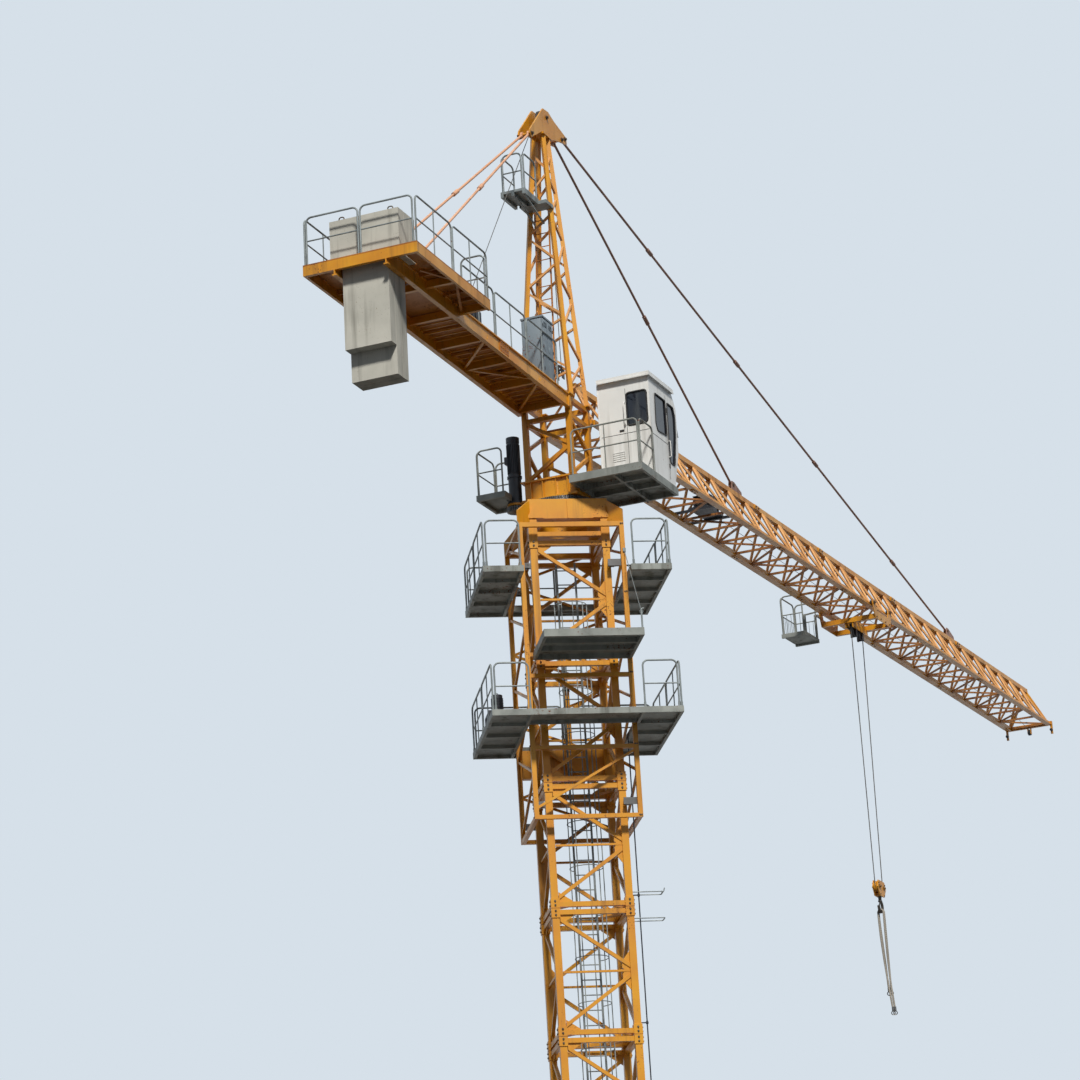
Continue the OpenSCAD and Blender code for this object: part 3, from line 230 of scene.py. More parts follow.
def group(name: str, inputs: dict[str, float],
          outputs: dict[str, str]) -> tuple[bpy.types.NodeTree, Graph, dict]:
    """Starts a shader node group.

    Args:
        name: Name of the group.
        inputs: Names and defaults of its number inputs.
        outputs: Names and socket types of its outputs.

    Returns:
        The group, a graph on it and its inner sockets by name.
    """
    tree = bpy.data.node_groups.new(name, "ShaderNodeTree")
    for label, value in inputs.items():
        socket = tree.interface.new_socket(name=label, in_out="INPUT", socket_type="NodeSocketFloat")
        socket.default_value = value
    for label, kind in outputs.items():
        tree.interface.new_socket(name=label, in_out="OUTPUT", socket_type=kind)
    graph = Graph(tree)
    enter = graph.add("NodeGroupInput")
    leave = graph.add("NodeGroupOutput")
    sockets = {label: enter.outputs[label] for label in inputs}
    sockets.update({label: leave.inputs[label] for label in outputs})
    return tree, graph, sockets


def streaks_group() -> bpy.types.NodeTree:
    """Run-down dirt: noise that is drawn out along Z."""
    tree, g, s = group("run_down_streaks", {"Scale": 9.0, "Low": 0.52, "High": 0.75},
                       {"Mask": "NodeSocketFloat"})
    spot = g.spot()
    drawn = g.add("ShaderNodeMapping", {"Vector": spot, "Scale": (1.0, 1.0, 0.07)}).outputs[0]
    fine = g.noise(drawn, s["Scale"], 4.0, 0.6)
    both = g.maths("MULTIPLY", fine, g.spread(g.noise(spot, 0.9, 2.0), 0.3, 0.65, 0.75, 1.15))
    tree.links.new(g.spread(both, s["Low"], s["High"]), s["Mask"])
    return tree


def specks_group() -> bpy.types.NodeTree:
    """Rust specks: fine noise cut off high, only where a wide noise lets it."""
    tree, g, s = group("rust_specks", {"Scale": 55.0, "Cover": 0.6}, {"Mask": "NodeSocketFloat"})
    spot = g.spot()
    wide = g.spread(g.noise(spot, 3.1, 3.0), 0.35, 0.7, -0.12, 0.1)
    total = g.maths("ADD", g.noise(spot, s["Scale"], 3.0, 0.65), wide)
    tree.links.new(g.spread(total, s["Cover"], g.maths("ADD", s["Cover"], 0.06)), s["Mask"])
    return tree


def mottle_group() -> bpy.types.NodeTree:
    """Uneven tone: two octaves of soft noise, from 0 to 1 round 0.5."""
    tree, g, s = group("uneven_tone", {"Scale": 2.4}, {"Value": "NodeSocketFloat"})
    soft = g.noise(g.spot(), s["Scale"], 5.0, 0.55)
    tree.links.new(g.spread(soft, 0.28, 0.72), s["Value"])
    return tree


def dust_group() -> bpy.types.NodeTree:
    """Dust that has settled on faces that look up, broken by noise."""
    tree, g, s = group("settled_dust", {"Amount": 0.6}, {"Mask": "NodeSocketFloat"})
    normal = g.add("ShaderNodeNewGeometry").outputs["Normal"]
    up = g.add("ShaderNodeSeparateXYZ", {0: normal}).outputs[2]
    cloud = g.spread(g.noise(g.spot(), 5.0, 4.0), 0.3, 0.65, 0.35, 1.0)
    share = g.maths("MULTIPLY", g.spread(up, 0.55, 0.95), cloud)
    tree.links.new(g.maths("MULTIPLY", share, s["Amount"]), s["Mask"])
    return tree


def relief_group() -> bpy.types.NodeTree:
    """Fine relief of a coat or a cast face, as a normal."""
    tree, g, s = group("fine_relief", {"Scale": 160.0, "Strength": 0.25, "Depth": 0.0008},
                       {"Normal": "NodeSocketVector"})
    spot = g.spot()
    height = g.maths("ADD", g.noise(spot, s["Scale"], 4.0, 0.6), g.noise(spot, 7.0, 2.0))
    bump = g.add("ShaderNodeBump", {"Height": height, "Strength": s["Strength"], "Distance": s["Depth"]})
    tree.links.new(bump.outputs[0], s["Normal"])
    return tree


class Effects:
    """The shared shader groups, each built once."""

    built: dict[str, bpy.types.NodeTree] = {}
    makers = {"streaks": streaks_group, "specks": specks_group, "mottle": mottle_group,
              "dust": dust_group, "relief": relief_group}

    @classmethod
    def use(cls, graph: Graph, name: str, **values: float) -> bpy.types.NodeSocket:
        """Places a group in a material.

        Args:
            graph: Graph of the material.
            name: Short name of the effect.
            values: Values of its inputs.

        Returns:
            The group's output socket.
        """
        if name not in cls.built:
            cls.built[name] = cls.makers[name]()
        node = graph.add("ShaderNodeGroup", node_tree=cls.built[name])
        for label, value in values.items():
            node.inputs[label.replace("_", " ").title()].default_value = value
        return node.outputs[0]


def rgb(red: int, green: int, blue: int) -> tuple[float, float, float, float]:
    """Linear colour of a display colour given from 0 to 255."""
    def linear(v: int) -> float:
        """One channel."""
        c = v / 255
        return c / 12.92 if c <= 0.04045 else ((c + 0.055) / 1.055) ** 2.4
    return (linear(red), linear(green), linear(blue), 1.0)


@dataclass(frozen=True)
class Finish:
    """A weathered finish: a base tone, its uneven tone, dirt, rust and dust.

    Attributes hold display colours from 0 to 255 and shares from 0 to 1.
    """

    name: str
    base: Colour
    shade: Colour
    dirt: Colour = (70, 52, 34)
    rust: Colour = (104, 52, 24)
    dust: Colour = (168, 160, 142)
    rough: float = 0.5
    metal: float = 0.0
    streaks: float = 0.5
    speck_cover: float = 0.66
    dust_amount: float = 0.35
    relief: float = 0.2
    grain: float = 160.0
    coat: float = 0.0
    tone_scale: float = 2.4

    def material(self) -> bpy.types.Material:
        """The finish as a material, made at its first use."""
        made = bpy.data.materials.get(self.name)
        if made:
            return made
        made, g = new_material(self.name)
        made.diffuse_color = rgb(*self.base)
        colour, rough = self.tones(g)
        shader = g.add("ShaderNodeBsdfPrincipled", {
            "Base Color": colour, "Roughness": rough, "Metallic": self.metal,
            "Normal": Effects.use(g, "relief", scale=self.grain, strength=self.relief)})
        shader.inputs["Coat Weight"].default_value = self.coat
        shader.inputs["Coat Roughness"].default_value = COAT_ROUGH
        g.add("ShaderNodeOutputMaterial", {"Surface": shader.outputs[0]})
        return made

    def tones(self, g: Graph) -> tuple[bpy.types.NodeSocket, bpy.types.NodeSocket]:
        """Wires the colour and the roughness.

        Args:
            g: Graph of the material.

        Returns:
            The colour and the roughness sockets.
        """
        tone = Effects.use(g, "mottle", scale=self.tone_scale)
        colour = g.blend(tone, rgb(*self.shade), rgb(*self.base))
        wet = g.maths("MULTIPLY", Effects.use(g, "streaks"), self.streaks)
        colour = g.blend(wet, colour, rgb(*self.dirt))
        specks = Effects.use(g, "specks", cover=self.speck_cover)
        colour = g.blend(specks, colour, rgb(*self.rust))
        dusty = Effects.use(g, "dust", amount=self.dust_amount)
        colour = g.blend(dusty, colour, rgb(*self.dust))
        worn = g.maths("ADD", g.maths("MULTIPLY", wet, 0.3), g.maths("MULTIPLY", specks, 0.35))
        rough = g.maths("ADD", worn, g.spread(tone, 0.0, 1.0, self.rough + 0.1, self.rough - 0.05))
        return colour, rough


@dataclass(frozen=True)
class Stone(Finish):
    """Cast concrete with pores and run-down stains."""

    def tones(self, g: Graph) -> tuple[bpy.types.NodeSocket, bpy.types.NodeSocket]:
        """Adds pores, darkened as painted shade in their holes, to the weathered tones and returns colour and
        roughness.
        """
        colour, rough = super().tones(g)
        spot = g.spot()
        # Pores are small dark spots: painted shade in holes that the mesh doesn't have.
        pores = g.add("ShaderNodeTexVoronoi", {"Vector": spot, "Scale": 46.0})
        hole = g.spread(pores.outputs["Distance"], 0.06, 0.16, 1.0, 0.0)
        hole = g.maths("MULTIPLY", hole, g.spread(g.noise(spot, 9.0, 2.0), 0.5, 0.62))
        return g.blend(hole, colour, rgb(96, 94, 88)), rough


@dataclass(frozen=True)
class Strands(Finish):
    """Laid rope or twisted textile: slanting bands round the piece."""

    pitch: float = 60.0

    def tones(self, g: Graph) -> tuple[bpy.types.NodeSocket, bpy.types.NodeSocket]:
        """Darkens the valleys between strands with the dirt colour, as painted shade of grooves the mesh
        lacks and the grime in them, and returns colour and roughness.
        """
        colour, rough = super().tones(g)
        lay = g.add("ShaderNodeTexWave", {"Vector": g.spot(), "Scale": self.pitch, "Distortion": 1.5,
                                          "Detail": 1.0}, wave_type="BANDS", bands_direction="DIAGONAL")
        # Painted shade: the grooves between strands are darkened in colour, not cut into the mesh.
        groove_shade = g.spread(lay.outputs[1], 0.0, 0.45, 0.6, 0.0)
        return g.blend(groove_shade, colour, rgb(*self.dirt)), rough


@dataclass(frozen=True)
class Pane:
    """Dark tinted glass with a film of dirt."""

    name: str
    tint: Colour
    clear: float = 0.35

    def material(self) -> bpy.types.Material:
        """The glass as a material, made at its first use."""
        made = bpy.data.materials.get(self.name)
        if made:
            return made
        made, g = new_material(self.name)
        film = g.maths("MULTIPLY", Effects.use(g, "streaks", scale=14.0), 0.3)
        colour = g.blend(film, rgb(*self.tint), rgb(120, 124, 122))
        shader = g.add("ShaderNodeBsdfPrincipled", {
            "Base Color": colour, "Roughness": g.spread(film, 0.0, 0.3, 0.04, 0.22),
            "Normal": Effects.use(g, "relief", scale=3.0, strength=0.05)})
        shader.inputs["Transmission Weight"].default_value = self.clear
        shader.inputs["IOR"].default_value = GLASS_IOR
        g.add("ShaderNodeOutputMaterial", {"Surface": shader.outputs[0]})
        return made


YELLOW = Finish("crane_yellow", (220, 156, 22), (196, 124, 16), dirt=(96, 56, 20), rough=0.42,
                streaks=0.55, coat=0.15, dust=(182, 148, 84), dust_amount=0.28)
# Darker copy of the crane yellow: painted shade for parts seen from below or inside, such as the rear deck,
# wing braces, slab seats, splices, seams and cap ladder.
SHADE_PAINTED_YELLOW = Finish("painted_shade_yellow", (186, 118, 26), (146, 84, 20), dirt=(74, 42, 20), rough=0.5, streaks=0.7,
              speck_cover=0.62, dust=(150, 120, 80))
PALE = Finish("faded_yellow", (224, 168, 104), (206, 144, 82), dirt=(128, 84, 52), rough=0.5, streaks=0.4,
              coat=0.08, dust=(196, 170, 132))
# Darker yellow for the jib's bottom bars: painted shade of faces seen from below, with the same rust specks
# as the other finishes.
UNDERSIDE_SHADE_YELLOW = Finish("underside_shade_yellow", (168, 112, 52), (128, 78, 36), dirt=(74, 44, 24), rust=(92, 48, 24), rough=0.55,
              streaks=0.6, speck_cover=0.58, dust=(150, 120, 84))
BLUSH = Finish("faded_primer", (224, 174, 142), (208, 150, 112), dirt=(132, 90, 66), rough=0.55, streaks=0.35,
               dust=(190, 172, 150))
TARNISH = Finish("tie_steel", (158, 122, 106), (128, 96, 84), dirt=(84, 60, 50), rough=0.55,
                 streaks=0.4)
ZINC = Finish("zinc_coat", (140, 147, 147), (112, 120, 122), dirt=(74, 72, 64), rough=0.5, metal=0.35,
              streaks=0.6, speck_cover=0.7, tone_scale=9.0)
DECKING = Finish("deck_zinc", (148, 152, 147), (116, 120, 116), dirt=(66, 62, 52), rough=0.6, metal=0.15,
                 streaks=0.7, speck_cover=0.64, tone_scale=5.0, dust_amount=0.55)
CABINET = Finish("cabinet_grey", (126, 138, 146), (108, 120, 130), dirt=(72, 74, 74), rough=0.5,
                 streaks=0.5)
DARK = Finish("machine_dark", (40, 43, 50), (26, 28, 34), dirt=(54, 44, 34), rough=0.45, metal=0.2,
              streaks=0.5, dust=(110, 106, 98))
STEEL = Finish("bare_steel", (112, 112, 112), (82, 80, 78), dirt=(60, 46, 36), rough=0.4, metal=0.8,
               streaks=0.4)
BOLTS = Finish("bolt_steel", (92, 84, 70), (66, 56, 44), dirt=(54, 36, 24), rough=0.5, metal=0.5,
               speck_cover=0.56)
WHITE = Finish("cab_white", (236, 237, 235), (222, 223, 221), dirt=(120, 112, 98), rough=0.35, streaks=0.35,
               speck_cover=0.74, coat=0.2, dust=(190, 186, 176))
RUBBER = Finish("seal_rubber", (30, 31, 33), (22, 22, 24), rough=0.7, streaks=0.2, speck_cover=2.0)
HOOKS = Finish("hook_steel", (70, 62, 54), (46, 40, 36), dirt=(60, 40, 28), rough=0.5, metal=0.4,
               speck_cover=0.6)
SEAT = Finish("seat_cloth", (40, 40, 44), (30, 30, 33), rough=0.85, streaks=0.1, speck_cover=2.0,
              grain=420.0, relief=0.5)
CONCRETE = Stone("cast_concrete", (200, 198, 188), (174, 173, 164), dirt=(112, 110, 102), rust=(136, 120, 98),
                 rough=0.85, streaks=0.6, speck_cover=0.7, dust=(176, 172, 160), relief=0.5, grain=70.0)
WIRE = Strands("wire_rope", (112, 110, 106), (84, 82, 78), dirt=(48, 46, 44), rough=0.5, metal=0.5,
               pitch=70.0)
TEXTILE = Strands("sling_rope", (172, 166, 156), (140, 134, 124), dirt=(84, 78, 70), rust=(120, 108, 92),
                  rough=0.9, pitch=26.0, relief=0.6, grain=300.0)
TINTED = Pane("tinted_glass", (30, 38, 52))


class Bench:
    """Bench on which one piece is made, in millimetres of a frame of the crane."""

    def __init__(self, place: Matrix = CRANE) -> None:
        """Starts an empty mesh in a frame."""
        self.mesh = bmesh.new()
        self.place = place

    def sides(self, frame: Matrix) -> Iterable[None]:
        """Turns the bench to the four sides of a frame, one after another."""
        for turn in range(4):
            self.place = frame @ turned(90.0 * turn, "Z")
            yield

    def block(self, low: Point, high: Point, chamfer: float = 0.0) -> None:
        """Adds a box between two opposite corners, with chamfered edges if asked."""
        a, b = Vector(low) * MM, Vector(high) * MM
        size = Matrix.Diagonal((abs(b.x - a.x), abs(b.y - a.y), abs(b.z - a.z), 1.0))
        made = bmesh.ops.create_cube(self.mesh, size=1.0,
                                     matrix=self.place @ Matrix.Translation((a + b) / 2) @ size)
        if chamfer:
            edges = dict.fromkeys(e for v in made["verts"] for e in v.link_edges)
            bmesh.ops.bevel(self.mesh, geom=list(edges), offset=chamfer * MM, offset_type="OFFSET",
                            segments=2, profile=0.5, affect="EDGES", material=-1)

    def rod(self, a: Point, b: Point, d: float, sides: int = 10, d_end: float | None = None) -> None:
        """Adds a round or many-sided bar from a to b, tapered to d_end if it is given."""
        p, q = Vector(a) * MM, Vector(b) * MM
        place = self.place @ Matrix.Translation((p + q) / 2) @ toward(q - p)
        bmesh.ops.create_cone(self.mesh, cap_ends=True, segments=sides, radius1=d / 2 * MM,
                              radius2=(d if d_end is None else d_end) / 2 * MM, depth=(q - p).length,
                              matrix=place)

    def bar(self, a: Point, b: Point, wide: float, deep: float) -> None:
        """Adds a square bar from a to b."""
        p, q = Vector(a) * MM, Vector(b) * MM
        place = self.place @ Matrix.Translation((p + q) / 2) @ toward(q - p)
        size = Matrix.Diagonal((wide * MM, deep * MM, (q - p).length, 1.0))
        bmesh.ops.create_cube(self.mesh, size=1.0, matrix=place @ size)

    def bolt(self, at: Point, way: Point, across: float) -> None:
        """Adds a hexagon head on its washer, standing on a face."""
        foot, out = Vector(at), Vector(way).normalized()
        self.rod(foot - out, foot + out * across * 0.14, across * 1.5, sides=10)
        self.rod(foot, foot + out * across * 0.75, across * 1.15, sides=6)

    def pin(self, x: float, y: float, z: float) -> None:
        """Adds a pin across a tie's lug, with a washer on each side."""
        self.rod((x, y - 34, z), (x, y + 34, z), 24, sides=16)
        for s in (-1, 1):
            self.rod((x, y + s * 23, z), (x, y + s * 28, z), 42, sides=16)

    def tube(self, route: Sequence[Point], d: float, sides: int = 8, closed: bool = False) -> None:
        """Sweeps a round section along a route.

        Args:
            route: Points in millimetres.
            d: Diameter of the section.
            sides: Sides of the section.
            closed: Whether the last ring joins the first.
        """
        points = [Vector(p) * MM for p in route]
        count = len(points)
        ways = []
        for i in range(count):
            before = points[(i - 1) % count] if closed or i > 0 else points[i]
            after = points[(i + 1) % count] if closed or i < count - 1 else points[i]
            ways.append((after - before).normalized())
        turn = toward(ways[0])
        start = self.place @ Matrix.Translation(points[0]) @ turn
        ring = bmesh.ops.create_circle(self.mesh, cap_ends=not closed, segments=sides, radius=d / 2 * MM,
                                       matrix=start)["verts"]
        first = list(ring)
        edges = list(dict.fromkeys(e for v in ring for e in v.link_edges))
        for i in range(1, count):
            swing = ways[i - 1].rotation_difference(ways[i]).to_matrix().to_4x4()
            step = (self.place @ Matrix.Translation(points[i]) @ swing
                    @ Matrix.Translation(-points[i - 1]) @ self.place.inverted())
            made = bmesh.ops.extrude_edge_only(self.mesh, edges=edges)["geom"]
            ring = [v for v in made if isinstance(v, bmesh.types.BMVert)]
            fresh = set(ring)
            edges = [e for e in made if isinstance(e, bmesh.types.BMEdge)
                     and e.verts[0] in fresh and e.verts[1] in fresh]
            bmesh.ops.transform(self.mesh, matrix=step, verts=ring)
        if closed:
            around = [e for e in dict.fromkeys(e for v in first for e in v.link_edges)
                      if e.verts[0] in first and e.verts[1] in first]
            bmesh.ops.bridge_loops(self.mesh, edges=edges + around)
        else:
            bmesh.ops.contextual_create(self.mesh, geom=edges)

    def bend(self, route: Sequence[Point], radius: float, d: float) -> None:
        """Bends a round bar of diameter d along a route with rounded corners."""
        self.tube(rounded(route, radius, 3), d)

    def ring(self, centre: Point, axis: Point, radius: float, d: float, steps: int = 24,
             sides: int = 8) -> None:
        """Spins a round section into a full ring about an axis through the centre."""
        mid = Vector(centre) * MM
        way = Vector(axis).normalized()
        side = way.orthogonal().normalized()
        face = Matrix((side, way, side.cross(way))).transposed().to_4x4()
        start = self.place @ Matrix.Translation(mid + side * radius * MM) @ face
        made = bmesh.ops.create_circle(self.mesh, cap_ends=False, segments=sides, radius=d / 2 * MM,
                                       matrix=start)
        edges = list(dict.fromkeys(e for v in made["verts"] for e in v.link_edges))
        bmesh.ops.spin(self.mesh, geom=made["verts"] + edges, cent=self.place @ mid,
                       axis=self.place.to_3x3() @ way, angle=2 * math.pi, steps=steps, use_merge=True)

    def plate(self, outline: Iterable[Point], depth: Point) -> None:
        """Adds a flat plate: an outline pushed along a depth, both in millimetres."""
        verts = [self.mesh.verts.new(self.place @ (Vector(p) * MM)) for p in outline]
        face = self.mesh.faces.new(verts)
        made = bmesh.ops.extrude_face_region(self.mesh, geom=[face])["geom"]
        top = [v for v in made if isinstance(v, bmesh.types.BMVert)]
        bmesh.ops.translate(self.mesh, vec=self.place.to_3x3() @ (Vector(depth) * MM), verts=top)

    def ball(self, centre: Point, d: float) -> None:
        """Adds a small ball."""
        bmesh.ops.create_icosphere(self.mesh, subdivisions=2, radius=d / 2 * MM,
                                   matrix=self.place @ Matrix.Translation(Vector(centre) * MM))

    def done(self, name: str, finish: Finish | Pane, slot: Slot,
             body: Body | None = None) -> bpy.types.Object:
        """Turns the mesh into a piece.

        Args:
            name: Name of the piece.
            finish: Its finish.
            slot: The record's material slot; not used.
            body: Body that it rides on, or None to leave it on no body.

        Returns:
            The piece's object.
        """
        bm = self.mesh
        bmesh.ops.recalc_face_normals(bm, faces=bm.faces)
        for face in bm.faces:
            face.smooth = True
        for edge in bm.edges:
            edge.smooth = edge.is_manifold and edge.calc_face_angle(0.0) < CREASE
        data = bpy.data.meshes.new(name)
        bm.to_mesh(data)
        bm.free()
        piece = bpy.data.objects.new(name, data)
        bpy.context.scene.collection.objects.link(piece)
        data.materials.append(finish.material())
        if body is not None:
            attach(piece, body.value)
        log.info("%s: %d faces", name, len(data.polygons))
        return piece


@dataclass
class Studio:
    """Pale floor, soft sun, sky light and the camera at the photograph's place."""

    eye: Point = (-33.762, -13.689, 0.98)
    right: Point = (0.39831, -0.91544, -0.05775)
    up: Point = (-0.26116, -0.17352, 0.94958)
    ahead: Point = (0.87929, 0.36314, 0.30819)
    lens: float = 126.67
    sun_from: Point = (-0.60, -0.36, 0.72)
    sun_strength: float = 3.8
    sun_angle: float = 7.0
    sun_tint: Point = (1.0, 0.965, 0.9)
    sky_tint: Point = (0.80, 0.88, 1.0, 1.0)
    sky_strength: float = 0.27
    backdrop: Colour = (214, 224, 233)
    floor_seen: Point = (0.66, 0.67, 0.68, 1.0)
    floor_bounce: Point = (0.07, 0.07, 0.07, 1.0)
    floor_fade: tuple[float, float] = (40.0, 170.0)
    floor_reach: float = 600.0

    def build(self) -> None:
        """Makes the camera, the lamps, the world and the floor."""
        bpy.context.scene.view_settings.view_transform = "Standard"
        self.camera()
        self.lamps()
        self.world()
        self.floor()

    def camera(self) -> None:
        """Stands the camera where the photograph was taken."""
        data = bpy.data.cameras.new("view")
        data.lens, data.sensor_width = self.lens, 36.0
        data.clip_start, data.clip_end = 0.1, 2000.0
        seat = bpy.data.objects.new("view", data)
        axes = Matrix((self.right, self.up, -Vector(self.ahead))).transposed()
        seat.matrix_world = Matrix.Translation(self.eye) @ axes.to_4x4()
        bpy.context.scene.collection.objects.link(seat)
        bpy.context.scene.camera = seat

    def lamps(self) -> None:
        """Hangs one large soft sun high on the left behind the camera."""
        data = bpy.data.lights.new("sun", "SUN")
        data.energy, data.angle = self.sun_strength, math.radians(self.sun_angle)
        data.color = self.sun_tint
        lamp = bpy.data.objects.new("sun", data)
        lamp.matrix_world = toward(Vector(self.sun_from))
        bpy.context.scene.collection.objects.link(lamp)

    @staticmethod
    def seen(g: Graph) -> bpy.types.NodeSocket:
        """Share of rays that show the background: camera, gloss and transmission rays."""
        path = g.add("ShaderNodeLightPath")
        either = g.maths("MAXIMUM", path.outputs["Is Camera Ray"], path.outputs["Is Glossy Ray"])
        return g.maths("MAXIMUM", either, path.outputs["Is Transmission Ray"])

    def world(self) -> None:
        """Lights the scene evenly and shows a plain pale background."""
        world = bpy.data.worlds.new("studio")
        bpy.context.scene.world = world
        world.use_nodes = True
        world.node_tree.nodes.clear()
        g = Graph(world.node_tree)
        fill = g.add("ShaderNodeBackground", {"Color": self.sky_tint, "Strength": self.sky_strength})
        shown = g.add("ShaderNodeBackground", {"Color": rgb(*self.backdrop), "Strength": 1.0})
        both = g.add("ShaderNodeMixShader", {0: self.seen(g), 1: fill.outputs[0], 2: shown.outputs[0]})
        g.add("ShaderNodeOutputWorld", {0: both.outputs[0]})

    def floor(self) -> None:
        """Lays a plain pale floor that fades into the background far out."""
        bm = bmesh.new()
        bmesh.ops.create_grid(bm, x_segments=1, y_segments=1, size=self.floor_reach)
        data = bpy.data.meshes.new("floor")
        bm.to_mesh(data)
        bm.free()
        floor = bpy.data.objects.new("floor", data)
        floor.location.z = -0.001
        bpy.context.scene.collection.objects.link(floor)
        look, g = new_material("pale_floor")
        away = g.add("ShaderNodeVectorMath", {0: g.spot()}, operation="LENGTH").outputs["Value"]
        seen = self.seen(g)
        tone = g.blend(seen, self.floor_bounce, self.floor_seen)
        cast = g.add("ShaderNodeBsdfDiffuse", {"Color": tone})
        glow = g.add("ShaderNodeEmission", {"Color": rgb(*self.backdrop), "Strength": 1.0})
        share = g.maths("MULTIPLY", g.spread(away, *self.floor_fade), seen)
        both = g.add("ShaderNodeMixShader", {0: share, 1: cast.outputs[0], 2: glow.outputs[0]})
        g.add("ShaderNodeOutputMaterial", {0: both.outputs[0]})
        data.materials.append(look)


@dataclass
class FrameFinishes:
    """The finish that each solid of the frame wears."""

    def dress(self, nodes: dict[str, bpy.types.Object]) -> None:
        """Gives each node's object its finish.

        Args:
            nodes: The frame's objects by node name.
        """
        wear = {
            YELLOW: "base_frame mast_chords mast_front mast_rear mast_left mast_right cage_legs "
                    "cage_left cage_right cage_rear cage_front cage_beam cage_ram lower_support "
                    "upper_support tower_posts tower_bracing cap_legs cap_head jib_chords jib_tip "
                    "trolley_frame hook_block rear_beams",
            # The rear deck wears the darker yellow as painted shade of its underside.
            SHADE_PAINTED_YELLOW: "rear_deck",
            PALE: "cap_sides cap_ends jib_left jib_right",
            # The jib's bottom bars take the darker yellow as painted shade.
            UNDERSIDE_SHADE_YELLOW: "jib_bottom",
            BLUSH: "rear_ties",
            TARNISH: "jib_ties",
            ZINC: "mast_ladder cage_rails rear_rails cap_rest",
            DECKING: "cage_decks side_deck cab_deck trolley_basket",
            CABINET: "cabinet",
            STEEL: "ring_gear ring_inner slew_pinion",
            DARK: "pump_unit slew_drive head_pulley hoist_winch trolley_winch trolley_wheels "
                  "trolley_sheaves",
            HOOKS: "hook",
            WHITE: "cab_shell",
            TINTED: "cab_glass",
            SEAT: "cab_seat",
            CONCRETE: "counterweights",
            WIRE: "hoist_ropes",
            TEXTILE: "slings",
        }
        for finish, names in wear.items():
            for name in names.split():
                slots = nodes[name].data.materials
                if not slots:
                    slots.append(finish.material())
                for i in range(len(slots)):
                    slots[i] = finish.material()
        log.info("dressed %d nodes", len(nodes))


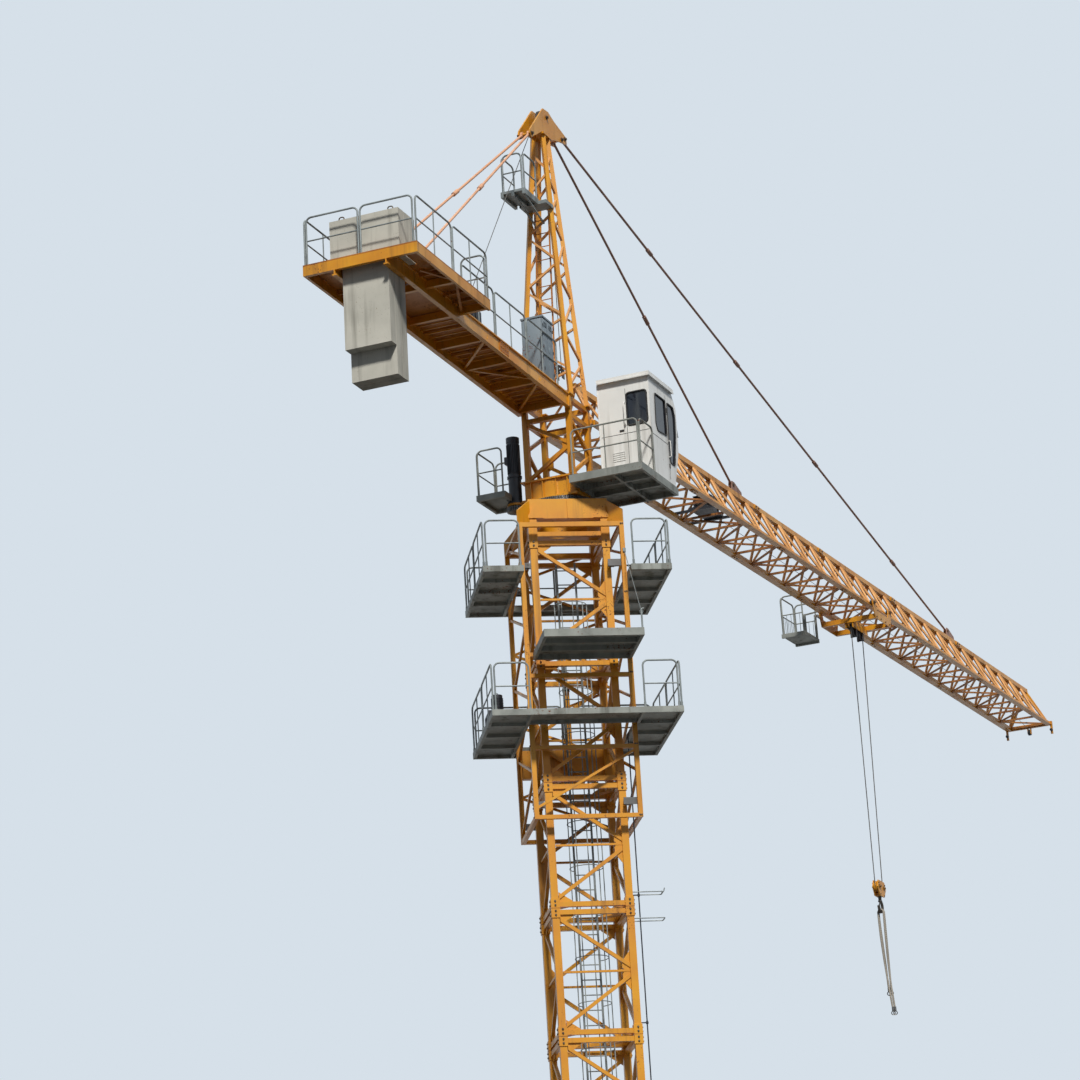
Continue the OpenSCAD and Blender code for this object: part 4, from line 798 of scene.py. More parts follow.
@dataclass
class MastFittings:
    """Bolts, seams, hoops, braces and brackets of the mast."""

    chord: float = 365.0
    sleeve_face: float = 408.0
    section: float = 1250.0
    count: int = 10
    base: float = 150.0
    bolt: float = 15.0
    hoop_r: float = 165.0
    hoop_pitch: float = 450.0

    def build(self) -> None:
        """Makes every piece of the mast."""
        self.joint_bolts()
        self.joint_seams()
        self.corner_braces()
        self.hoops()
        self.anchors()
        self.feed_pipe()
        self.side_brackets()

    def joint_bolts(self) -> None:
        """Bolts each chord joint on its two outer faces."""
        bench = Bench()
        for _ in bench.sides(MAST):
            for j in range(self.count + 1):
                z = self.base + j * self.section
                for rise in (-68, -28, 28, 68):
                    if self.base < z + rise < self.base + self.count * self.section:
                        bench.bolt((self.sleeve_face, self.chord, z + rise), (1, 0, 0), self.bolt)
                        bench.bolt((self.chord, self.sleeve_face, z + rise), (0, 1, 0), self.bolt)
        bench.done("mast_joint_bolts", BOLTS, Slot.DARK, Body.MAST)

    def joint_seams(self) -> None:
        """Draws the raised lip where two sections meet."""
        bench = Bench()
        lip = 45.0
        for _ in bench.sides(MAST):
            for j in range(1, self.count):
                z = self.base + j * self.section
                bench.block((self.chord - lip, self.chord - lip, z - 3),
                            (self.chord + lip, self.chord + lip, z + 3))
        bench.done("mast_joint_seams", SHADE_PAINTED_YELLOW, Slot.YELLOW, Body.MAST)

    def corner_braces(self) -> None:
        """Lays a short brace across each corner at every joint."""
        bench = Bench()
        near, far = 150.0, 355.0
        for _ in bench.sides(MAST):
            for j in range(self.count):
                z = self.base + j * self.section + 39
                bench.bar((near, far, z), (far, near, z), 20, 20)
        bench.done("mast_corner_braces", PALE, Slot.PALE, Body.MAST)

    def hoops(self) -> None:
        """Rings the ladder with its safety hoops and their straps."""
        bench = Bench(MAST)
        x, y = 40.0, 100.0
        low, high = self.base + 1150, self.base + self.count * self.section - 160
        count = int((high - low) / self.hoop_pitch)
        for k in range(count + 1):
            z = low + k * self.hoop_pitch
            bench.tube(arc((x, y, z), self.hoop_r, 125.0, 415.0, 16), 9, sides=6)
        for turn in (190.0, 230.0, 270.0, 310.0, 350.0):
            t = math.radians(turn)
            cx, cy = x + self.hoop_r * math.cos(t), y + self.hoop_r * math.sin(t)
            bench.bar((cx, cy, low), (cx, cy, low + count * self.hoop_pitch), 10, 5)
        bench.done("ladder_hoops", ZINC, Slot.ZINC, Body.MAST)

    def anchors(self) -> None:
        """Stands an anchor stud with its nut in each hole of the feet."""
        bench = Bench()
        for _ in bench.sides(MAST):
            for dx in (-95, 95):
                for dy in (-95, 95):
                    x, y = self.chord + dx, self.chord + dy
                    bench.rod((x, y, 1), (x, y, 66), 26, sides=12)
                    bench.rod((x, y, 24), (x, y, 29), 54, sides=16)
                    bench.rod((x, y, 29), (x, y, 50), 46, sides=6)
        bench.done("anchor_studs", BOLTS, Slot.DARK, Body.MAST)

    def feed_pipe(self) -> None:
        """Runs the supply pipe down beside the right front chord, held at each joint."""
        bench = Bench(MAST)
        x, y = 462.0, -self.chord
        bench.rod((x, y, self.base - 20), (x, y, 10640), 13, sides=8)
        for j in range(8):
            z = self.base + (j + 0.08) * self.section + 12
            bench.block((self.sleeve_face - 2, y - 12, z - 4), (x + 12, y + 12, z + 4))
            bench.rod((x, y, z - 14), (x, y, z + 14), 24, sides=10)
        bench.done("supply_pipe", DARK, Slot.DARK, Body.MAST)

    def side_brackets(self) -> None:
        """Sets two pairs of bent bars on the right front chord."""
        bench = Bench(MAST)
        for z, lip in ((9040.0, 34.0), (8780.0, 0.0)):
            route = [(400, -384, z), (704, -384, z), (704, -250, z), (400, -250, z)]
            bench.bend(route, 16, 11)
            if lip:
                for y in (-384, -250):
                    bench.bend([(680, y, z), (708, y, z), (716, y, z + lip)], 8, 11)
        bench.done("side_brackets", ZINC, Slot.ZINC, Body.MAST)


@dataclass
class CageFittings:
    """Guide rollers, bolts, rail feet, stay and machine details of the climbing cage."""

    half: float = 510.0
    leg: float = 46.0
    low: float = 9755.0
    top: float = 12785.0
    low_deck: float = 10760.0
    top_deck: float = 12250.0
    entry_deck: float = 11430.0

    def build(self) -> None:
        """Makes every piece of the cage."""
        self.rollers()
        self.bolts()
        self.rail_feet()
        self.stay()
        self.ram_details()
        self.pump_details()

    def rollers(self) -> None:
        """Hangs guide rollers between the cage's legs and the mast's chords."""
        bench = Bench()
        for _ in bench.sides(MAST):
            for z in (self.low + 170, self.top - 420):
                bench.rod((375, -442, z), (425, -442, z), 66, sides=20)
                bench.rod((360, -442, z), (440, -442, z), 20, sides=12)
                for x in (362, 432):
                    bench.block((x, -489, z - 26), (x + 8, -428, z + 26))
                bench.block((355, -500, z - 34), (490, -487, z + 34))
        bench.done("guide_rollers", STEEL, Slot.DARK, Body.MAST)

    def bolts(self) -> None:
        """Bolts the cage's beams to its legs."""
        bench = Bench()
        face = self.half + self.leg / 2
        for _ in bench.sides(MAST):
            for z in (self.low + 20, self.low + 735, self.low + 1465, self.top - 735, self.top - 24):
                for dx in (-9, 9):
                    bench.bolt((self.half + dx, -face, z), (0, -1, 0), 12)
        bench.done("cage_bolts", BOLTS, Slot.DARK, Body.MAST)

    def rail_feet(self) -> None:
        """Puts a socket and a bolt at the foot of each rail post."""
        bench = Bench(MAST)
        h, inset, rear = 926.0, 26.0, 740.0
        for z, near in ((self.low_deck, 905.0), (self.top_deck, 805.0)):
            mid = (rear - near) / 2
            for s in (-1, 1):
                for y in (-near + inset, mid - 4, mid + 16, rear - inset):
                    self.foot(bench, s * h, y, z)
                for x in (h - inset, 563.0):
                    self.foot(bench, s * x, -near + 14, z)
                for x in (h - inset, 10.0):
                    self.foot(bench, s * x, rear - 14, z)
        bench.done("cage_rail_feet", ZINC, Slot.ZINC, Body.MAST)

    @staticmethod
    def foot(bench: Bench, x: float, y: float, z: float) -> None:
        """One rail foot."""
        bench.rod((x, y, z - 2), (x, y, z + 46), 24, sides=10)
        bench.block((x - 16, y - 13, z - 1), (x + 16, y + 13, z + 4))

    def stay(self) -> None:
        """Holds the entry deck's corner post by a thin stay from the right front leg."""
        bench = Bench(MAST)
        x, y, z = 510.0, -1330.0, self.entry_deck
        bench.tube([(x, y, z + 158), (520.0, -535.0, 12480.0)], 7, sides=6)
        bench.ring((x, y, z + 164), (0, 1, 0), 16, 6, steps=14, sides=6)
        bench.block((505, -548, 12462), (535, -530, 12498))
        bench.bend([(x, y, z + 160), (x, y, z + 196), (x + 26, y, z + 196)], 12, 10)
        bench.done("entry_deck_stay", ZINC, Slot.ZINC, Body.MAST)

    def ram_details(self) -> None:
        """Adds the gland, the bright rod, the ports and the feed pipe of the lifting cylinder."""
        y, z = 447.0, 10690.0
        bench = Bench(MAST)
        bench.rod((0, y, z + 612), (0, y, z + 648), 76, sides=24)
        bench.rod((0, y, z), (0, y, z + 26), 78, sides=24)
        for rise in (40, 590):
            bench.rod((0, y + 30, z + rise), (0, y + 50, z + rise), 22, sides=10)
        bench.bend([(0, y + 46, z + 590), (0, y + 56, z + 560), (0, y + 56, z + 90), (0, y + 46, z + 60)],
                   14, 10)
        bench.done("ram_fittings", DARK, Slot.DARK, Body.MAST)
        bench = Bench(MAST)
        bench.rod((0, y, z + 642), (0, y, z + 889), 41.6, sides=28)
        bench.done("ram_rod", STEEL, Slot.DARK, Body.MAST)

    def pump_details(self) -> None:
        """Ribs the pump motor and adds its valves, cap and lifting eye."""
        bench = Bench(MAST)
        x, y, z = -780.0, -110.0, self.low_deck + 190
        for k in range(8):
            bench.rod((x, y, z + 20 + k * 16), (x, y, z + 25 + k * 16), 124, sides=18)
        bench.ring((x, y, z + 182), (0, 1, 0), 12, 6, steps=14, sides=6)
        bench.block((x - 100, y + 100, z - 60), (x - 70, y + 200, z - 10), chamfer=3)
        for k in range(3):
            bench.bend([(x - 85, y + 120 + 26 * k, z - 12), (x - 85, y + 120 + 26 * k, z + 30),
                        (x + 10, y + 150 + 8 * k, z + 60)], 18, 9)
        bench.done("pump_details", DARK, Slot.DARK, Body.MAST)


@dataclass
class SlewFittings:
    """Motor fins, bolts and ribs of the slewing part."""

    drive: Point = (-210.1, 403.6, 13152.0)
    post: float = 240.0
    tower: float = 13350.0
    cap: float = 14200.0
    table: tuple[float, float] = (13152.0, 13332.0)

    def build(self) -> None:
        """Makes every piece of the slewing part."""
        self.motor_fins()
        self.bolts()
        self.flange_ribs()

    def motor_fins(self) -> None:
        """Stands cooling fins round the motor, with a fan cowl and a terminal box."""
        bench = Bench()
        x, y, z = self.drive
        for k in range(24):
            t = math.radians(15 * k)
            c, s = math.cos(t), math.sin(t)
            bench.bar((x + 66 * c, y + 66 * s, z + 326), (x + 66 * c, y + 66 * s, z + 640), 11, 4)
        bench.rod((x, y, z + 714), (x, y, z + 722), 96, sides=24)
        bench.block((x - 34, y + 56, z + 440), (x + 34, y + 92, z + 520), chamfer=5)
        for k in range(8):
            t = math.radians(45 * k + 20)
            bench.bolt((x + 76 * math.cos(t), y + 76 * math.sin(t), z + 24), (0, 0, 1), 9)
        bench.done("slew_motor_fins", DARK, Slot.DARK, Body.TOP)

    def bolts(self) -> None:
        """Bolts the tower's feet and head flanges."""
        bench = Bench()
        for _ in bench.sides(CRANE):
            for dx, dy in ((-40, 0), (0, -40), (-40, -40)):
                bench.bolt((self.post + dx - 4, self.post + dy - 4, self.tower), (0, 0, 1), 14)
            for dx, dy in ((42, -14), (-14, 42), (42, 20), (20, 42)):
                bench.bolt((self.post + dx, self.post + dy, self.cap + 14), (0, 0, 1), 12)
        bench.done("tower_bolts", BOLTS, Slot.DARK, Body.TOP)

    def flange_ribs(self) -> None:
        """Stiffens the slewing table's side plates with upright ribs."""
        bench = Bench()
        for _ in bench.sides(CRANE):
            for x in (-200, -70, 70, 200):
                bench.block((x - 5, -294, self.table[0]), (x + 5, -271, self.table[1]))
        bench.done("table_ribs", YELLOW, Slot.YELLOW, Body.TOP)


@dataclass
class CapFittings:
    """Ladder, pin ends and platform props of the cap."""

    foot: float = 14200.0
    high: float = 3000.0
    lean: float = 60.0
    x_span: tuple[float, float] = (208.0, 64.0)
    y_span: tuple[float, float] = (264.0, 54.0)

    def at(self, share: float, sx: float, sy: float) -> Vector:
        """Point between the legs at a share of the cap's height."""
        return Vector((self.lean * share + sx * (self.x_span[0] + (self.x_span[1] - self.x_span[0]) * share),
                       sy * (self.y_span[0] + (self.y_span[1] - self.y_span[0]) * share),
                       self.foot + self.high * share))

    def build(self) -> None:
        """Makes every piece of the cap."""
        self.ladder()
        self.pins()
        self.rest_braces()

    def ladder(self) -> None:
        """Leans a ladder inside the rear legs up to the resting platform."""
        bench = Bench()
        half, inside = 78, -0.72
        a, b = self.at(0.01, inside, 0), self.at(0.74, inside, 0)
        for y in (half, -half):
            bench.bar((a.x, y, a.z), (b.x, y, b.z), 12, 18)
        for k in range(14):
            p = self.at(0.03 + k * 0.05, inside, 0)
            bench.rod((p.x, -half, p.z), (p.x, half, p.z), 11, sides=8)
        bench.done("cap_ladder", SHADE_PAINTED_YELLOW, Slot.YELLOW, Body.TOP)

    def pins(self) -> None:
        """Caps the head's pins with washers and split pins."""
        bench = Bench()
        d = 28
        for x, z in ((570, 17372), (482, 17334), (-340, 17094), (90, 17435)):
            for s in (-1, 1):
                bench.rod((x, s * 70, z), (x, s * 76, z), d * 1.7, sides=20)
                bench.rod((x, s * 76, z), (x, s * 92, z), d, sides=16)
                bench.rod((x - 18, s * 85, z), (x + 18, s * 85, z), 4, sides=6)
        bench.done("head_pins", BOLTS, Slot.DARK, Body.TOP)

    def rest_braces(self) -> None:
        """Props the resting platform from the rear legs."""
        bench = Bench()
        for y in (-40.0, 60.0):
            leg = self.at(0.66, -1, 0)
            bench.bar((-560, y, 16330), (leg.x - 10, y, leg.z), 16, 16)
        bench.done("rest_props", ZINC, Slot.ZINC, Body.TOP)


@dataclass
class CabFittings:
    """Seals, visor, seams, handles, gutter and levers of the cab."""

    x: float = 0.0
    y: float = -470.0
    z: float = 13290.0
    long: float = 740.0
    wide: float = 560.0
    high: float = 1040.0

    def bench(self) -> Bench:
        """Bench in the cab's frame, with Y kept as the crane's."""
        return Bench(moved(self.x, 0, self.z))

    def build(self) -> None:
        """Makes every piece of the cab."""
        self.side_seals()
        self.rear_seal()
        self.front_seals()
        self.visor()
        self.trim()
        self.levers()

    def side_seals(self) -> None:
        """Frames the side panes with rubber."""
        bench = self.bench()
        first = [(130, 570), (170, 500), (420, 520), (430, 560), (430, 900), (150, 900)]
        second = [(470, 245), (600, 245), (680, 600), (690, 800), (650, 895), (480, 895)]
        for side, out in ((self.y, 1), (self.y - self.wide, -1)):
            for outline in (first, second):
                route = [(px, side + out * 2, pz) for px, pz in outline]
                bench.tube(self.loop(route, 24), 15, sides=6, closed=True)
        bench.done("side_pane_seals", RUBBER, Slot.DARK, Body.TOP)

    @staticmethod
    def loop(route: list[Point], radius: float) -> list[Vector]:
        """Closed route with rounded corners."""
        ends = [route[-1], *route, route[0]]
        return rounded(ends, radius, 3)[1:-1]

    def rear_seal(self) -> None:
        """Frames the rear pane with a thick rubber."""
        bench = Bench(moved(self.x, self.y - self.wide + 30, self.z + 550))
        corners = [(-2, 0, 0), (-2, 220, 0), (-2, 220, 350), (-2, 0, 350)]
        bench.tube(self.loop(corners, 34), 17, sides=6, closed=True)
        bench.done("rear_pane_seal", RUBBER, Slot.DARK, Body.TOP)

    def front_seals(self) -> None:
        """Frames the front panes."""
        bench = self.bench()
        y0, y1 = self.y - self.wide + 50, self.y - 50
        x, low, high = self.long + 2, self.high * 0.45, self.high * 0.84
        bench.tube(self.loop([(x, y0, low), (x, y1, low), (x, y1, high), (x, y0, high)], 20), 15,
                   sides=6, closed=True)
        foot = Vector((self.long * 0.77, 0, 0))
        way = Vector((self.long * 0.23, 0, self.high * 0.42)).normalized()
        a, b = foot + way * 60, foot + way * 380
        out = Vector((way.z, 0, -way.x)) * 2
        ring = [p + out + Vector((0, y, 0)) for p, y in ((a, y0), (a, y1), (b, y1), (b, y0))]
        bench.tube(self.loop(ring, 20), 15, sides=6, closed=True)
        bench.done("front_pane_seals", RUBBER, Slot.DARK, Body.TOP)

    def visor(self) -> None:
        """Hangs a dark sun visor in front of the upper front pane."""
        bench = self.bench()
        y0, y1 = self.y - self.wide + 20, self.y - 20
        top, low = (self.long + 12, 850), (self.long + 74, 620)
        outline = [(top[0], y0, top[1]), (low[0], y0, low[1]), (low[0] + 6, y0, low[1] + 2),
                   (top[0] + 6, y0, top[1] + 2)]
        bench.plate(outline, (0, y1 - y0, 0))
        for y in (y0 + 30, y1 - 36):
            bench.bar((self.long - 4, y, 700), (self.long + 54, y, 690), 6, 6)
        bench.done("cab_visor", TINTED, Slot.GLASS, Body.TOP)

    def trim(self) -> None:
        """Adds the gutter, edge strips, handles and vents, then the dark seams and hinges."""
        bench = self.bench()
        y0, y1 = self.y - self.wide, self.y
        for y in (y0 - 22, y1 - 14):
            bench.block((-36, y - 4, self.high - 6), (self.long * 0.87, y + 4, self.high + 12))
        bench.block((-42, y0 - 22, self.high - 6), (-34, y1 - 10, self.high + 12))
        for y in (y0, y1):
            s = 1 if y == y1 else -1
            bench.block((-3, y - 4 * (s > 0) - 2, 4), (3, y + 4, self.high - 4))
            bench.bend([(452, y, 300), (452, y + s * 26, 300), (452, y + s * 26, 470), (452, y, 470)],
                       12, 10)
        for k in range(5):
            bench.block((-5, y0 + 300, 190 + k * 22), (0, y0 + 430, 198 + k * 22))
        y = y0 + 270
        bench.bend([(0, y, 560), (-30, y, 560), (-30, y, 800), (0, y, 800)], 14, 12)
        bench.done("cab_trim", WHITE, Slot.WHITE, Body.TOP)
        bench = self.bench()
        t = 1.6
        for y in (y0 - t, y1):
            bench.block((448, y, 60), (452, y + t, 960))
            bench.block((40, y, 430), (448, y + t, 434))
        for z in (200, 800):
            bench.rod((449, y0 - 5, z - 25), (449, y0 - 5, z + 25), 12, sides=8)
        bench.block((-t, y0 + 256, 40), (0, y0 + 260, 950))
        bench.block((-t, y0 + 20, 470), (0, y1 - 20, 474))
        bench.block((-9, y0 + 290, 500), (0, y0 + 340, 516), chamfer=2)
        bench.done("cab_seams", RUBBER, Slot.DARK, Body.TOP)

    def levers(self) -> None:
        """Stands the control levers on the consoles beside the seat."""
        bench = Bench(moved(self.x, self.y - self.wide / 2, self.z + 18))
        for s in (-1, 1):
            bench.rod((330, s * 160, 300), (342, s * 160, 380), 10, sides=8)
            bench.ball((344, s * 160, 388), 30)
            bench.block((200, s * 160 - 30, 300), (300, s * 160 + 30, 312), chamfer=3)
        bench.done("control_levers", RUBBER, Slot.DARK, Body.TOP)


@dataclass
class RearFittings:
    """Bars and braces, winch rope, doors, slab loops, pins and splices of the counter-jib."""

    beam: float = 262.0
    root: float = 307.0
    wide_from: float = 2900.0
    bar_pitch: float = 107.0

    def build(self) -> None:
        """Makes every piece of the counter-jib."""
        self.under_bars()
        self.wing_braces()
        self.drum_rope()
        self.winch_details()
        self.cabinet_doors()
        self.slab_parts()
        self.tie_pins()
        self.beam_bolts()

    def under_bars(self) -> None:
        """Lays thin cross bars under the walkway between the beams."""
        bench = Bench(REAR)
        x = self.root + 150
        while x < self.wide_from:
            bench.block((x, -250, 78), (x + 12, 250, 90))
            x += self.bar_pitch
        bench.done("walkway_bars", YELLOW, Slot.YELLOW, Body.TOP)

    def wing_braces(self) -> None:
        """Braces the wide end below its deck."""
        bench = Bench(REAR)
        for s in (-1, 1):
            bench.bar((2950, s * 300, 96), (3600, s * 548, 96), 24, 24)
            bench.bar((3680, s * 548, 96), (4040, s * 380, 96), 24, 24)
            for x in (3120, 3330, 3860):
                bench.block((x, s * 292, 100), (x + 14, s * 553, 138))
        bench.done("wing_braces", SHADE_PAINTED_YELLOW, Slot.YELLOW, Body.TOP)

    def drum_rope(self) -> None:
        """Winds the hoist rope on the drum in close turns."""
        bench = Bench(REAR)
        for k in range(30):
            bench.ring((2240, -138 + k * 8.2, 324), (0, 1, 0), 113, 8.6, steps=28, sides=6)
        bench.done("drum_rope", WIRE, Slot.ROPE, Body.TOP)
        self.hoist_line()

    @staticmethod
    def hoist_line() -> None:
        """Leads the hoist rope from the drum over the head pulley and down to the jib's root."""
        bench = Bench()
        drum = in_frame(REAR, (2200, 0, 430)) / MM
        pulley_x, pulley_z, groove = 90, 17435, 82
        wheel = [Vector((pulley_x + p.x, 0, pulley_z + p.y)) for p in arc((0, 0, 0), groove, 135, 20, 8)]
        route = [drum, *wheel, Vector((196, 0, 17200)), Vector((240, 0, 14700))]
        bench.tube(route, 8, sides=6)
        x, z = 200, 14660
        bench.ring((x, 0, z), (0, 1, 0), 44, 22, steps=24, sides=8)
        bench.rod((x, -60, z), (x, 60, z), 20, sides=12)
        for y in (-34, 26):
            bench.block((x - 30, y, z - 100), (x + 32, y + 8, z + 30))
        bench.done("hoist_lead", WIRE, Slot.ROPE, Body.TOP)

    def winch_details(self) -> None:
        """Ribs the winch motor and adds the brake, bearings and bolts."""
        bench = Bench(REAR)
        z = 134.0
        for k in range(11):
            bench.rod((2620 + k * 15, -90, z + 130), (2625 + k * 15, -90, z + 130), 164, sides=24)
        bench.rod((2800, -90, z + 130), (2826, -90, z + 130), 130, sides=24)
        for y in (-196, 124):
            bench.rod((2240, y, z + 190), (2240, y + 36, z + 190), 90, sides=24)
        for x in (2090, 2390, 2640, 2780):
            for y in (-195, 195):
                bench.bolt((x, y, z + 40), (0, 0, 1), 12)
        bench.block((2440, 30, z + 40), (2560, 150, z + 140), chamfer=6)
        bench.done("winch_details", DARK, Slot.DARK, Body.TOP)

    def cabinet_doors(self) -> None:
        """Adds door leaves, hinges, handles, louvres and a cable to the cabinet."""
        bench = Bench(REAR)
        low, top = 150.0, 785.0
        for x0, x1 in ((622, 740), (746, 864)):
            for y, out in ((262, 1), (40, -1)):
                bench.block((x0, y, low + 12), (x1, y + out * 5, top - 12), chamfer=1.5)
                for k in range(6):
                    z = top - 90 + k * 9
                    bench.block((x0 + 24, y, z), (x1 - 24, y + out * 9, z + 4))
                bench.block((x1 - 22, y, 440), (x1 - 14, y + out * 14, 500), chamfer=1.5)
        for x, out in ((615, -1), (870, 1)):
            bench.block((x, 52, low + 14), (x + out * 5, 250, top - 12), chamfer=1.5)
        bench.done("cabinet_doors", CABINET, Slot.ZINC, Body.TOP)
        bench = Bench(REAR)
        for z in (230, 470, 700):
            for x in (621, 865):
                bench.rod((x, 270, z - 16), (x, 270, z + 16), 9, sides=8)
        bench.bend([(600, 150, 180), (590, 150, 230), (590, 150, 620), (616, 150, 650)], 20, 14)
        bench.done("cabinet_hinges", DARK, Slot.DARK, Body.TOP)

    def slab_parts(self) -> None:
        """Puts lifting loops on the slabs and steel seats under their shoulders."""
        bench = Bench(REAR)
        first, slab, gap, low, top = 4062, 112.0, 6.0, 588, 640
        for k in range(3):
            x = first + k * (slab + gap) + slab / 2
            for y in (-250, 250):
                route = [(x, y - 26, low), (x, y - 26, top), (x, y + 26, top), (x, y + 26, low)]
                bench.tube(rounded(route, 22), 12)
        bench.done("slab_loops", BOLTS, Slot.DARK, Body.TOP)
        bench = Bench(REAR)
        for s in (-1, 1):
            bench.block((4050, s * 236, 142), (4424, s * 250, 149.5))
        bench.done("slab_seats", SHADE_PAINTED_YELLOW, Slot.YELLOW, Body.TOP)

    def tie_pins(self) -> None:
        """Pins the counter-jib's ties to their brackets."""
        bench = Bench(REAR)
        for s in (-1, 1):
            bench.pin(3950, s * self.beam, 220)
        bench.done("rear_tie_pins", BOLTS, Slot.DARK, Body.TOP)

    def beam_bolts(self) -> None:
        """Laps plates over the beams' splices and bolts them."""
        bench = Bench(REAR)
        for s in (-1, 1):
            for x in (1820, 1870, 1920, 1970):
                for z in (30, 75, 120):
                    bench.bolt((x, s * (self.beam + 14), z), (0, s, 0), 12)
            bench.block((1790, s * (self.beam + 5), 14), (2000, s * (self.beam + 14), 136))
        bench.done("beam_splices", SHADE_PAINTED_YELLOW, Slot.YELLOW, Body.TOP)


@dataclass
class JibFittings:
    """Section joints, ropes, pins and winch details of the jib."""

    root: float = 312.0
    reach: float = 17100.0
    bays: int = 30
    half: float = 278.5
    high: float = 517.0
    ties: tuple[float, float] = (5250, 13420)

    @property
    def pitch(self) -> float:
        """Length of a bay."""
        return (self.reach - self.root) / self.bays

    def build(self) -> None:
        """Makes every piece of the jib."""
        self.section_joints()
        self.tie_pins()
        self.winch_details()
        self.travel_line()
        self.tip_details()

    def section_joints(self) -> None:
        """Laps plates with pins over the chords where the jib's sections meet."""
        bench, pins = Bench(JIB), Bench(JIB)
        for k in (5, 10, 14, 19, 24):
            x = self.root + k * self.pitch + 60
            for s in (-1, 1):
                y = s * self.half
                for z in (26, -34):
                    bench.block((x - 74, y - 24, z), (x + 74, y + 24, z + 8), chamfer=1.5)
                for dx in (-42, 42):
                    pins.rod((x + dx, y, -42), (x + dx, y, 44), 20, sides=12)
                bench.block((x - 80, s * 29, self.high - 27), (x + 80, s * 38, self.high + 27),
                            chamfer=1.5)
            for dx in (-44, 44):
                pins.rod((x + dx, -48, self.high), (x + dx, 48, self.high), 22, sides=12)
        bench.done("jib_joint_plates", YELLOW, Slot.YELLOW, Body.TOP)
        pins.done("jib_joint_pins", BOLTS, Slot.DARK, Body.TOP)

    def tie_pins(self) -> None:
        """Pins the jib's ties to their brackets."""
        bench = Bench(JIB)
        for x in self.ties:
            bench.pin(x, 0, self.high + 100)
        bench.done("jib_tie_pins", BOLTS, Slot.DARK, Body.TOP)

    def winch_details(self) -> None:
        """Winds the travel rope on its drum and ribs the motor."""
        drum_x, drum_z = 4280, 166
        bench = Bench(JIB)
        for k in range(17):
            bench.ring((drum_x, -66 + k * 8, drum_z), (0, 1, 0), 82, 7, steps=24, sides=6)
        bench.done("travel_drum_rope", WIRE, Slot.ROPE, Body.TOP)
        bench = Bench(JIB)
        for k in range(8):
            bench.block((4396 + k * 17, -78, 84), (4401 + k * 17, 78, 196), chamfer=2)
        for y in (-114, 108):
            bench.rod((drum_x, y, drum_z), (drum_x, y + 6, drum_z), 60, sides=20)
        bench.block((4170, -100, 226), (4470, 100, 234), chamfer=2)
        for x in (4185, 4450):
            for y in (-90, 84):
                bench.block((x, y, 70), (x + 6, y + 6, 228))
        bench.done("travel_winch_details", DARK, Slot.DARK, Body.TOP)

    def travel_line(self) -> None:
        """Leads the travel rope's upper run from the drum to the tip's sheave."""
        bench = Bench(JIB)
        bench.tube([(4290, 0, 82), (8000, 0, 46), (16400, 0, 31), (16560, 0, 14), (16800, 0, -15),
                    (17090, 0, -44)], 6, sides=6)
        bench.done("travel_line", WIRE, Slot.ROPE, Body.TOP)

    def tip_details(self) -> None:
        """Adds rubber buffers, bolts and the sheave's disc to the tip."""
        bench = Bench(JIB)
        for s in (-1, 1):
            bench.rod((self.reach - 26, s * 324, -100), (self.reach + 4, s * 324, -100), 40, sides=16)
            for z in (-60, -80):
                bench.bolt((self.reach + 36, s * 324, z), (1, 0, 0), 12)
        bench.rod((self.reach + 20, -18, -85), (self.reach + 20, 18, -85), 86, sides=24)
        bench.done("tip_buffers", RUBBER, Slot.DARK, Body.TOP)


@dataclass
class TrolleyFittings:
    """Wheel hubs, sheave guards, bolts and basket mesh of the trolley."""

    at: float = 9450.0

    def bench(self) -> Bench:
        """Bench in the trolley's frame."""
        return Bench(JIB @ moved(self.at, 0, 0))

    def build(self) -> None:
        """Makes every piece of the trolley."""
        bench = self.bench()
        for s in (-1, 1):
            for x in (-310, 310):
                bench.rod((x, s * 355, 16), (x, s * 364, 16), 48, sides=18)
                bench.bolt((x, s * 364, 16), (0, s, 0), 20)
            for x in (-250, -90, 90, 250):
                bench.bolt((x, s * 354.5, -150), (0, s, 0), 14)
        bench.done("trolley_hubs", BOLTS, Slot.DARK, Body.TROLLEY)
        bench = self.bench()
        for x in (-123, 123):
            for s in (-1, 1):
                bench.block((x - 22, s * 22, -330), (x + 22, s * 40, -236), chamfer=3)
            bench.rod((x, -44, -322), (x, 44, -322), 16, sides=10)
        bench.done("sheave_guards", DARK, Slot.DARK, Body.TROLLEY)
        self.basket_mesh()

    def basket_mesh(self) -> None:
        """Fills the basket's rails with thin upright bars."""
        bench = self.bench()
        feet = [(-830 + k * 58.75, 676.0) for k in range(9)]
        feet += [(x, 440 + k * 56) for x in (-846, -344) for k in range(4)]
        for x, y in feet:
            bench.rod((x, y, -330), (x, y, -100), 6, sides=6)
        bench.done("basket_bars", ZINC, Slot.ZINC, Body.TROLLEY)


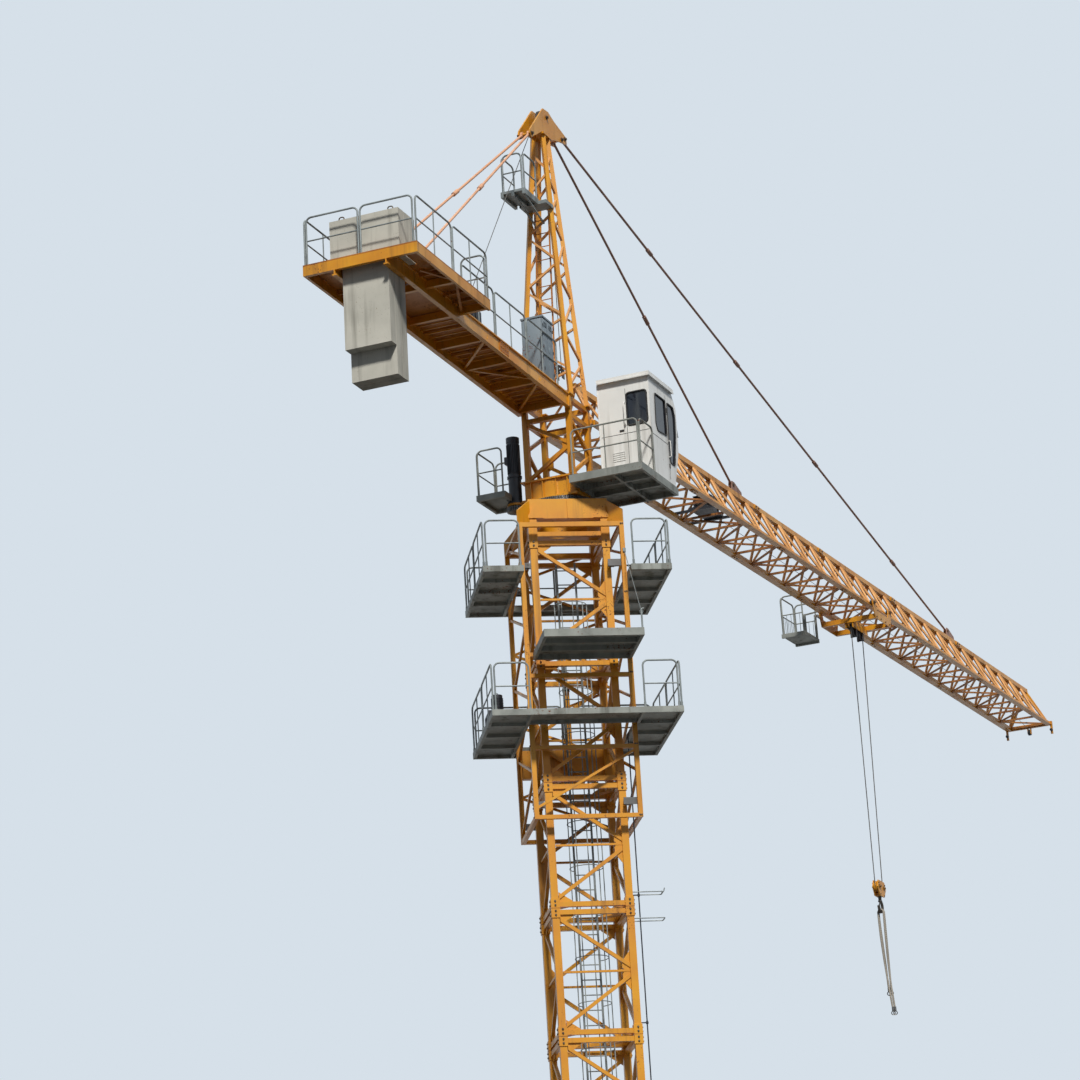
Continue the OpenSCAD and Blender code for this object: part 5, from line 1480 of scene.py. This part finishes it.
@dataclass
class Hoist:
    """Rope falls, block bolts, hook latch and the four legs of the two hanging slings."""

    falls: Point = (9451.5, 0.0, 14186.4)
    drop: float = 3256.0
    top_half: float = 215.0
    low_half: float = 142.0
    rope: float = 12.0
    sling: float = 24.0
    saddle: float = -271.28

    @property
    def hook_z(self) -> float:
        """Height of the block's sheave axis."""
        return self.falls[2] - self.drop

    @property
    def place(self) -> Matrix:
        """Frame of the hook block, at its sheave axis."""
        return moved(self.falls[0], 0, self.hook_z)

    def build(self) -> None:
        """Makes the ropes, the block's fittings and the slings."""
        self.slings()
        self.ropes()
        self.block_details()
        self.latch()

    def ropes(self) -> None:
        """Hangs the two falls between the trolley and the block."""
        x, z = self.falls[0], self.falls[2]
        bench = Bench()
        for s in (-1, 1):
            bench.tube([(x + s * self.top_half, 0, z), (x + s * self.low_half, 0, self.hook_z)],
                       self.rope, sides=12)
        piece = bench.done("rope_falls", WIRE, Slot.ROPE)
        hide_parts("hoist_ropes")
        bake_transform(piece)

    def block_details(self) -> None:
        """Puts heads on the block's two pins and bolts on its cheeks."""
        bench = Bench(self.place)
        for s in (-1, 1):
            for x in (-80, 80):
                bench.rod((x, s * 37, 0), (x, s * 44, 0), 54, sides=20)
                bench.bolt((x, s * 44, 0), (0, s, 0), 20)
            for x, z in ((-110, 40), (110, 40), (-70, -95), (70, -95)):
                bench.bolt((x, s * 37, z), (0, s, 0), 12)
        bench.done("block_bolts", BOLTS, Slot.DARK, Body.BLOCK)

    def latch(self) -> None:
        """Closes the hook's mouth with a sprung latch and rings its shank."""
        bench = Bench(self.place)
        bench.bar((14, 0, -176), (-56, 0, -226), 18, 6)
        bench.rod((16, -16, -176), (16, 16, -176), 12, sides=10)
        bench.ring((0, 0, -166), (0, 0, 1), 24, 8, steps=20, sides=6)
        bench.done("hook_latch", STEEL, Slot.DARK, Body.HOOK)

    def leg(self, x: float, side: int, hanging: Sequence[Point]) -> list[Vector]:
        """Leads one sling leg from the hook's seat down through its hanging points.

        Args:
            x: Place of the sling along the hook's seat.
            side: Flank on which the leg hangs, -1 or 1.
            hanging: Points of the hanging part, from the hook down.

        Returns:
            The route, with a middle point in each long stretch.
        """
        turn = [(0, 0), (10, -1.2), (25, -12), (34, -30)]
        route = [Vector((x, side * y, self.saddle + z)) for y, z in turn]
        for point in hanging:
            end = Vector(point)
            start = route[-1]
            steps = 3 if (end - start).length > 150 else 1
            route += [start.lerp(end, k / steps) for k in range(1, steps + 1)]
        return route

    def slings(self) -> None:
        """Hangs four sling legs from the hook's seat, each with an eye at its end."""
        hanging = {
            "long_sling_near": (-13, -1, [(-14, -34, -360), (-22, -36, -600), (-34, -44, -900),
                                          (-48, -60, -1200), (-60, -90, -1520)]),
            "long_sling_far": (-13, 1, [(-14, 34, -360), (-24, 24, -600), (-38, 0, -900),
                                        (-52, -30, -1200), (-66, -66, -1520)]),
            "short_sling_near": (13, -1, [(14, -34, -360), (18, -34, -600), (24, -34, -900),
                                          (30, -34, -1260)]),
            "short_sling_far": (13, 1, [(14, 34, -360), (20, 24, -600), (30, 12, -900),
                                        (44, 0, -1260)]),
        }
        place = self.place
        for name, (x, side, below) in hanging.items():
            route = self.leg(x, side, below)
            end = route[-1]
            eye = Bench(place)
            eye.ring(end - Vector((0, 0, 34)), (1, 0.4, 0), 22, 12, steps=20, sides=8)
            eye.rod(end - Vector((0, 0, 10)), end + Vector((0, 0, 40)), 31, sides=12)
            ferrule = eye.done(name + "_eye", STEEL, Slot.DARK, Body.HOOK)
            bench = Bench(place)
            bench.tube(route, self.sling, sides=10)
            piece = bench.done(name, TEXTILE, Slot.SLING, Body.HOOK)
            points = [in_frame(place, p) for p in route]
            length = sum((b - a).length for a, b in zip(points, points[1:]))
            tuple(points[0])
        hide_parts("slings")


def main() -> None:
    """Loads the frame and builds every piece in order."""
    logging.basicConfig(level=logging.INFO, format="%(name)s: %(message)s")
    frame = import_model()
    Studio().build()
    Hoist().build()
    FrameFinishes().dress(frame["nodes"])
    for part in (MastFittings(), CageFittings(), SlewFittings(), CapFittings(), CabFittings(),
                 RearFittings(), JibFittings(), TrolleyFittings()):
        part.build()
        log.info("%s done", type(part).__name__)
    bpy.context.view_layer.update()


if __name__ == "__main__":
    main()
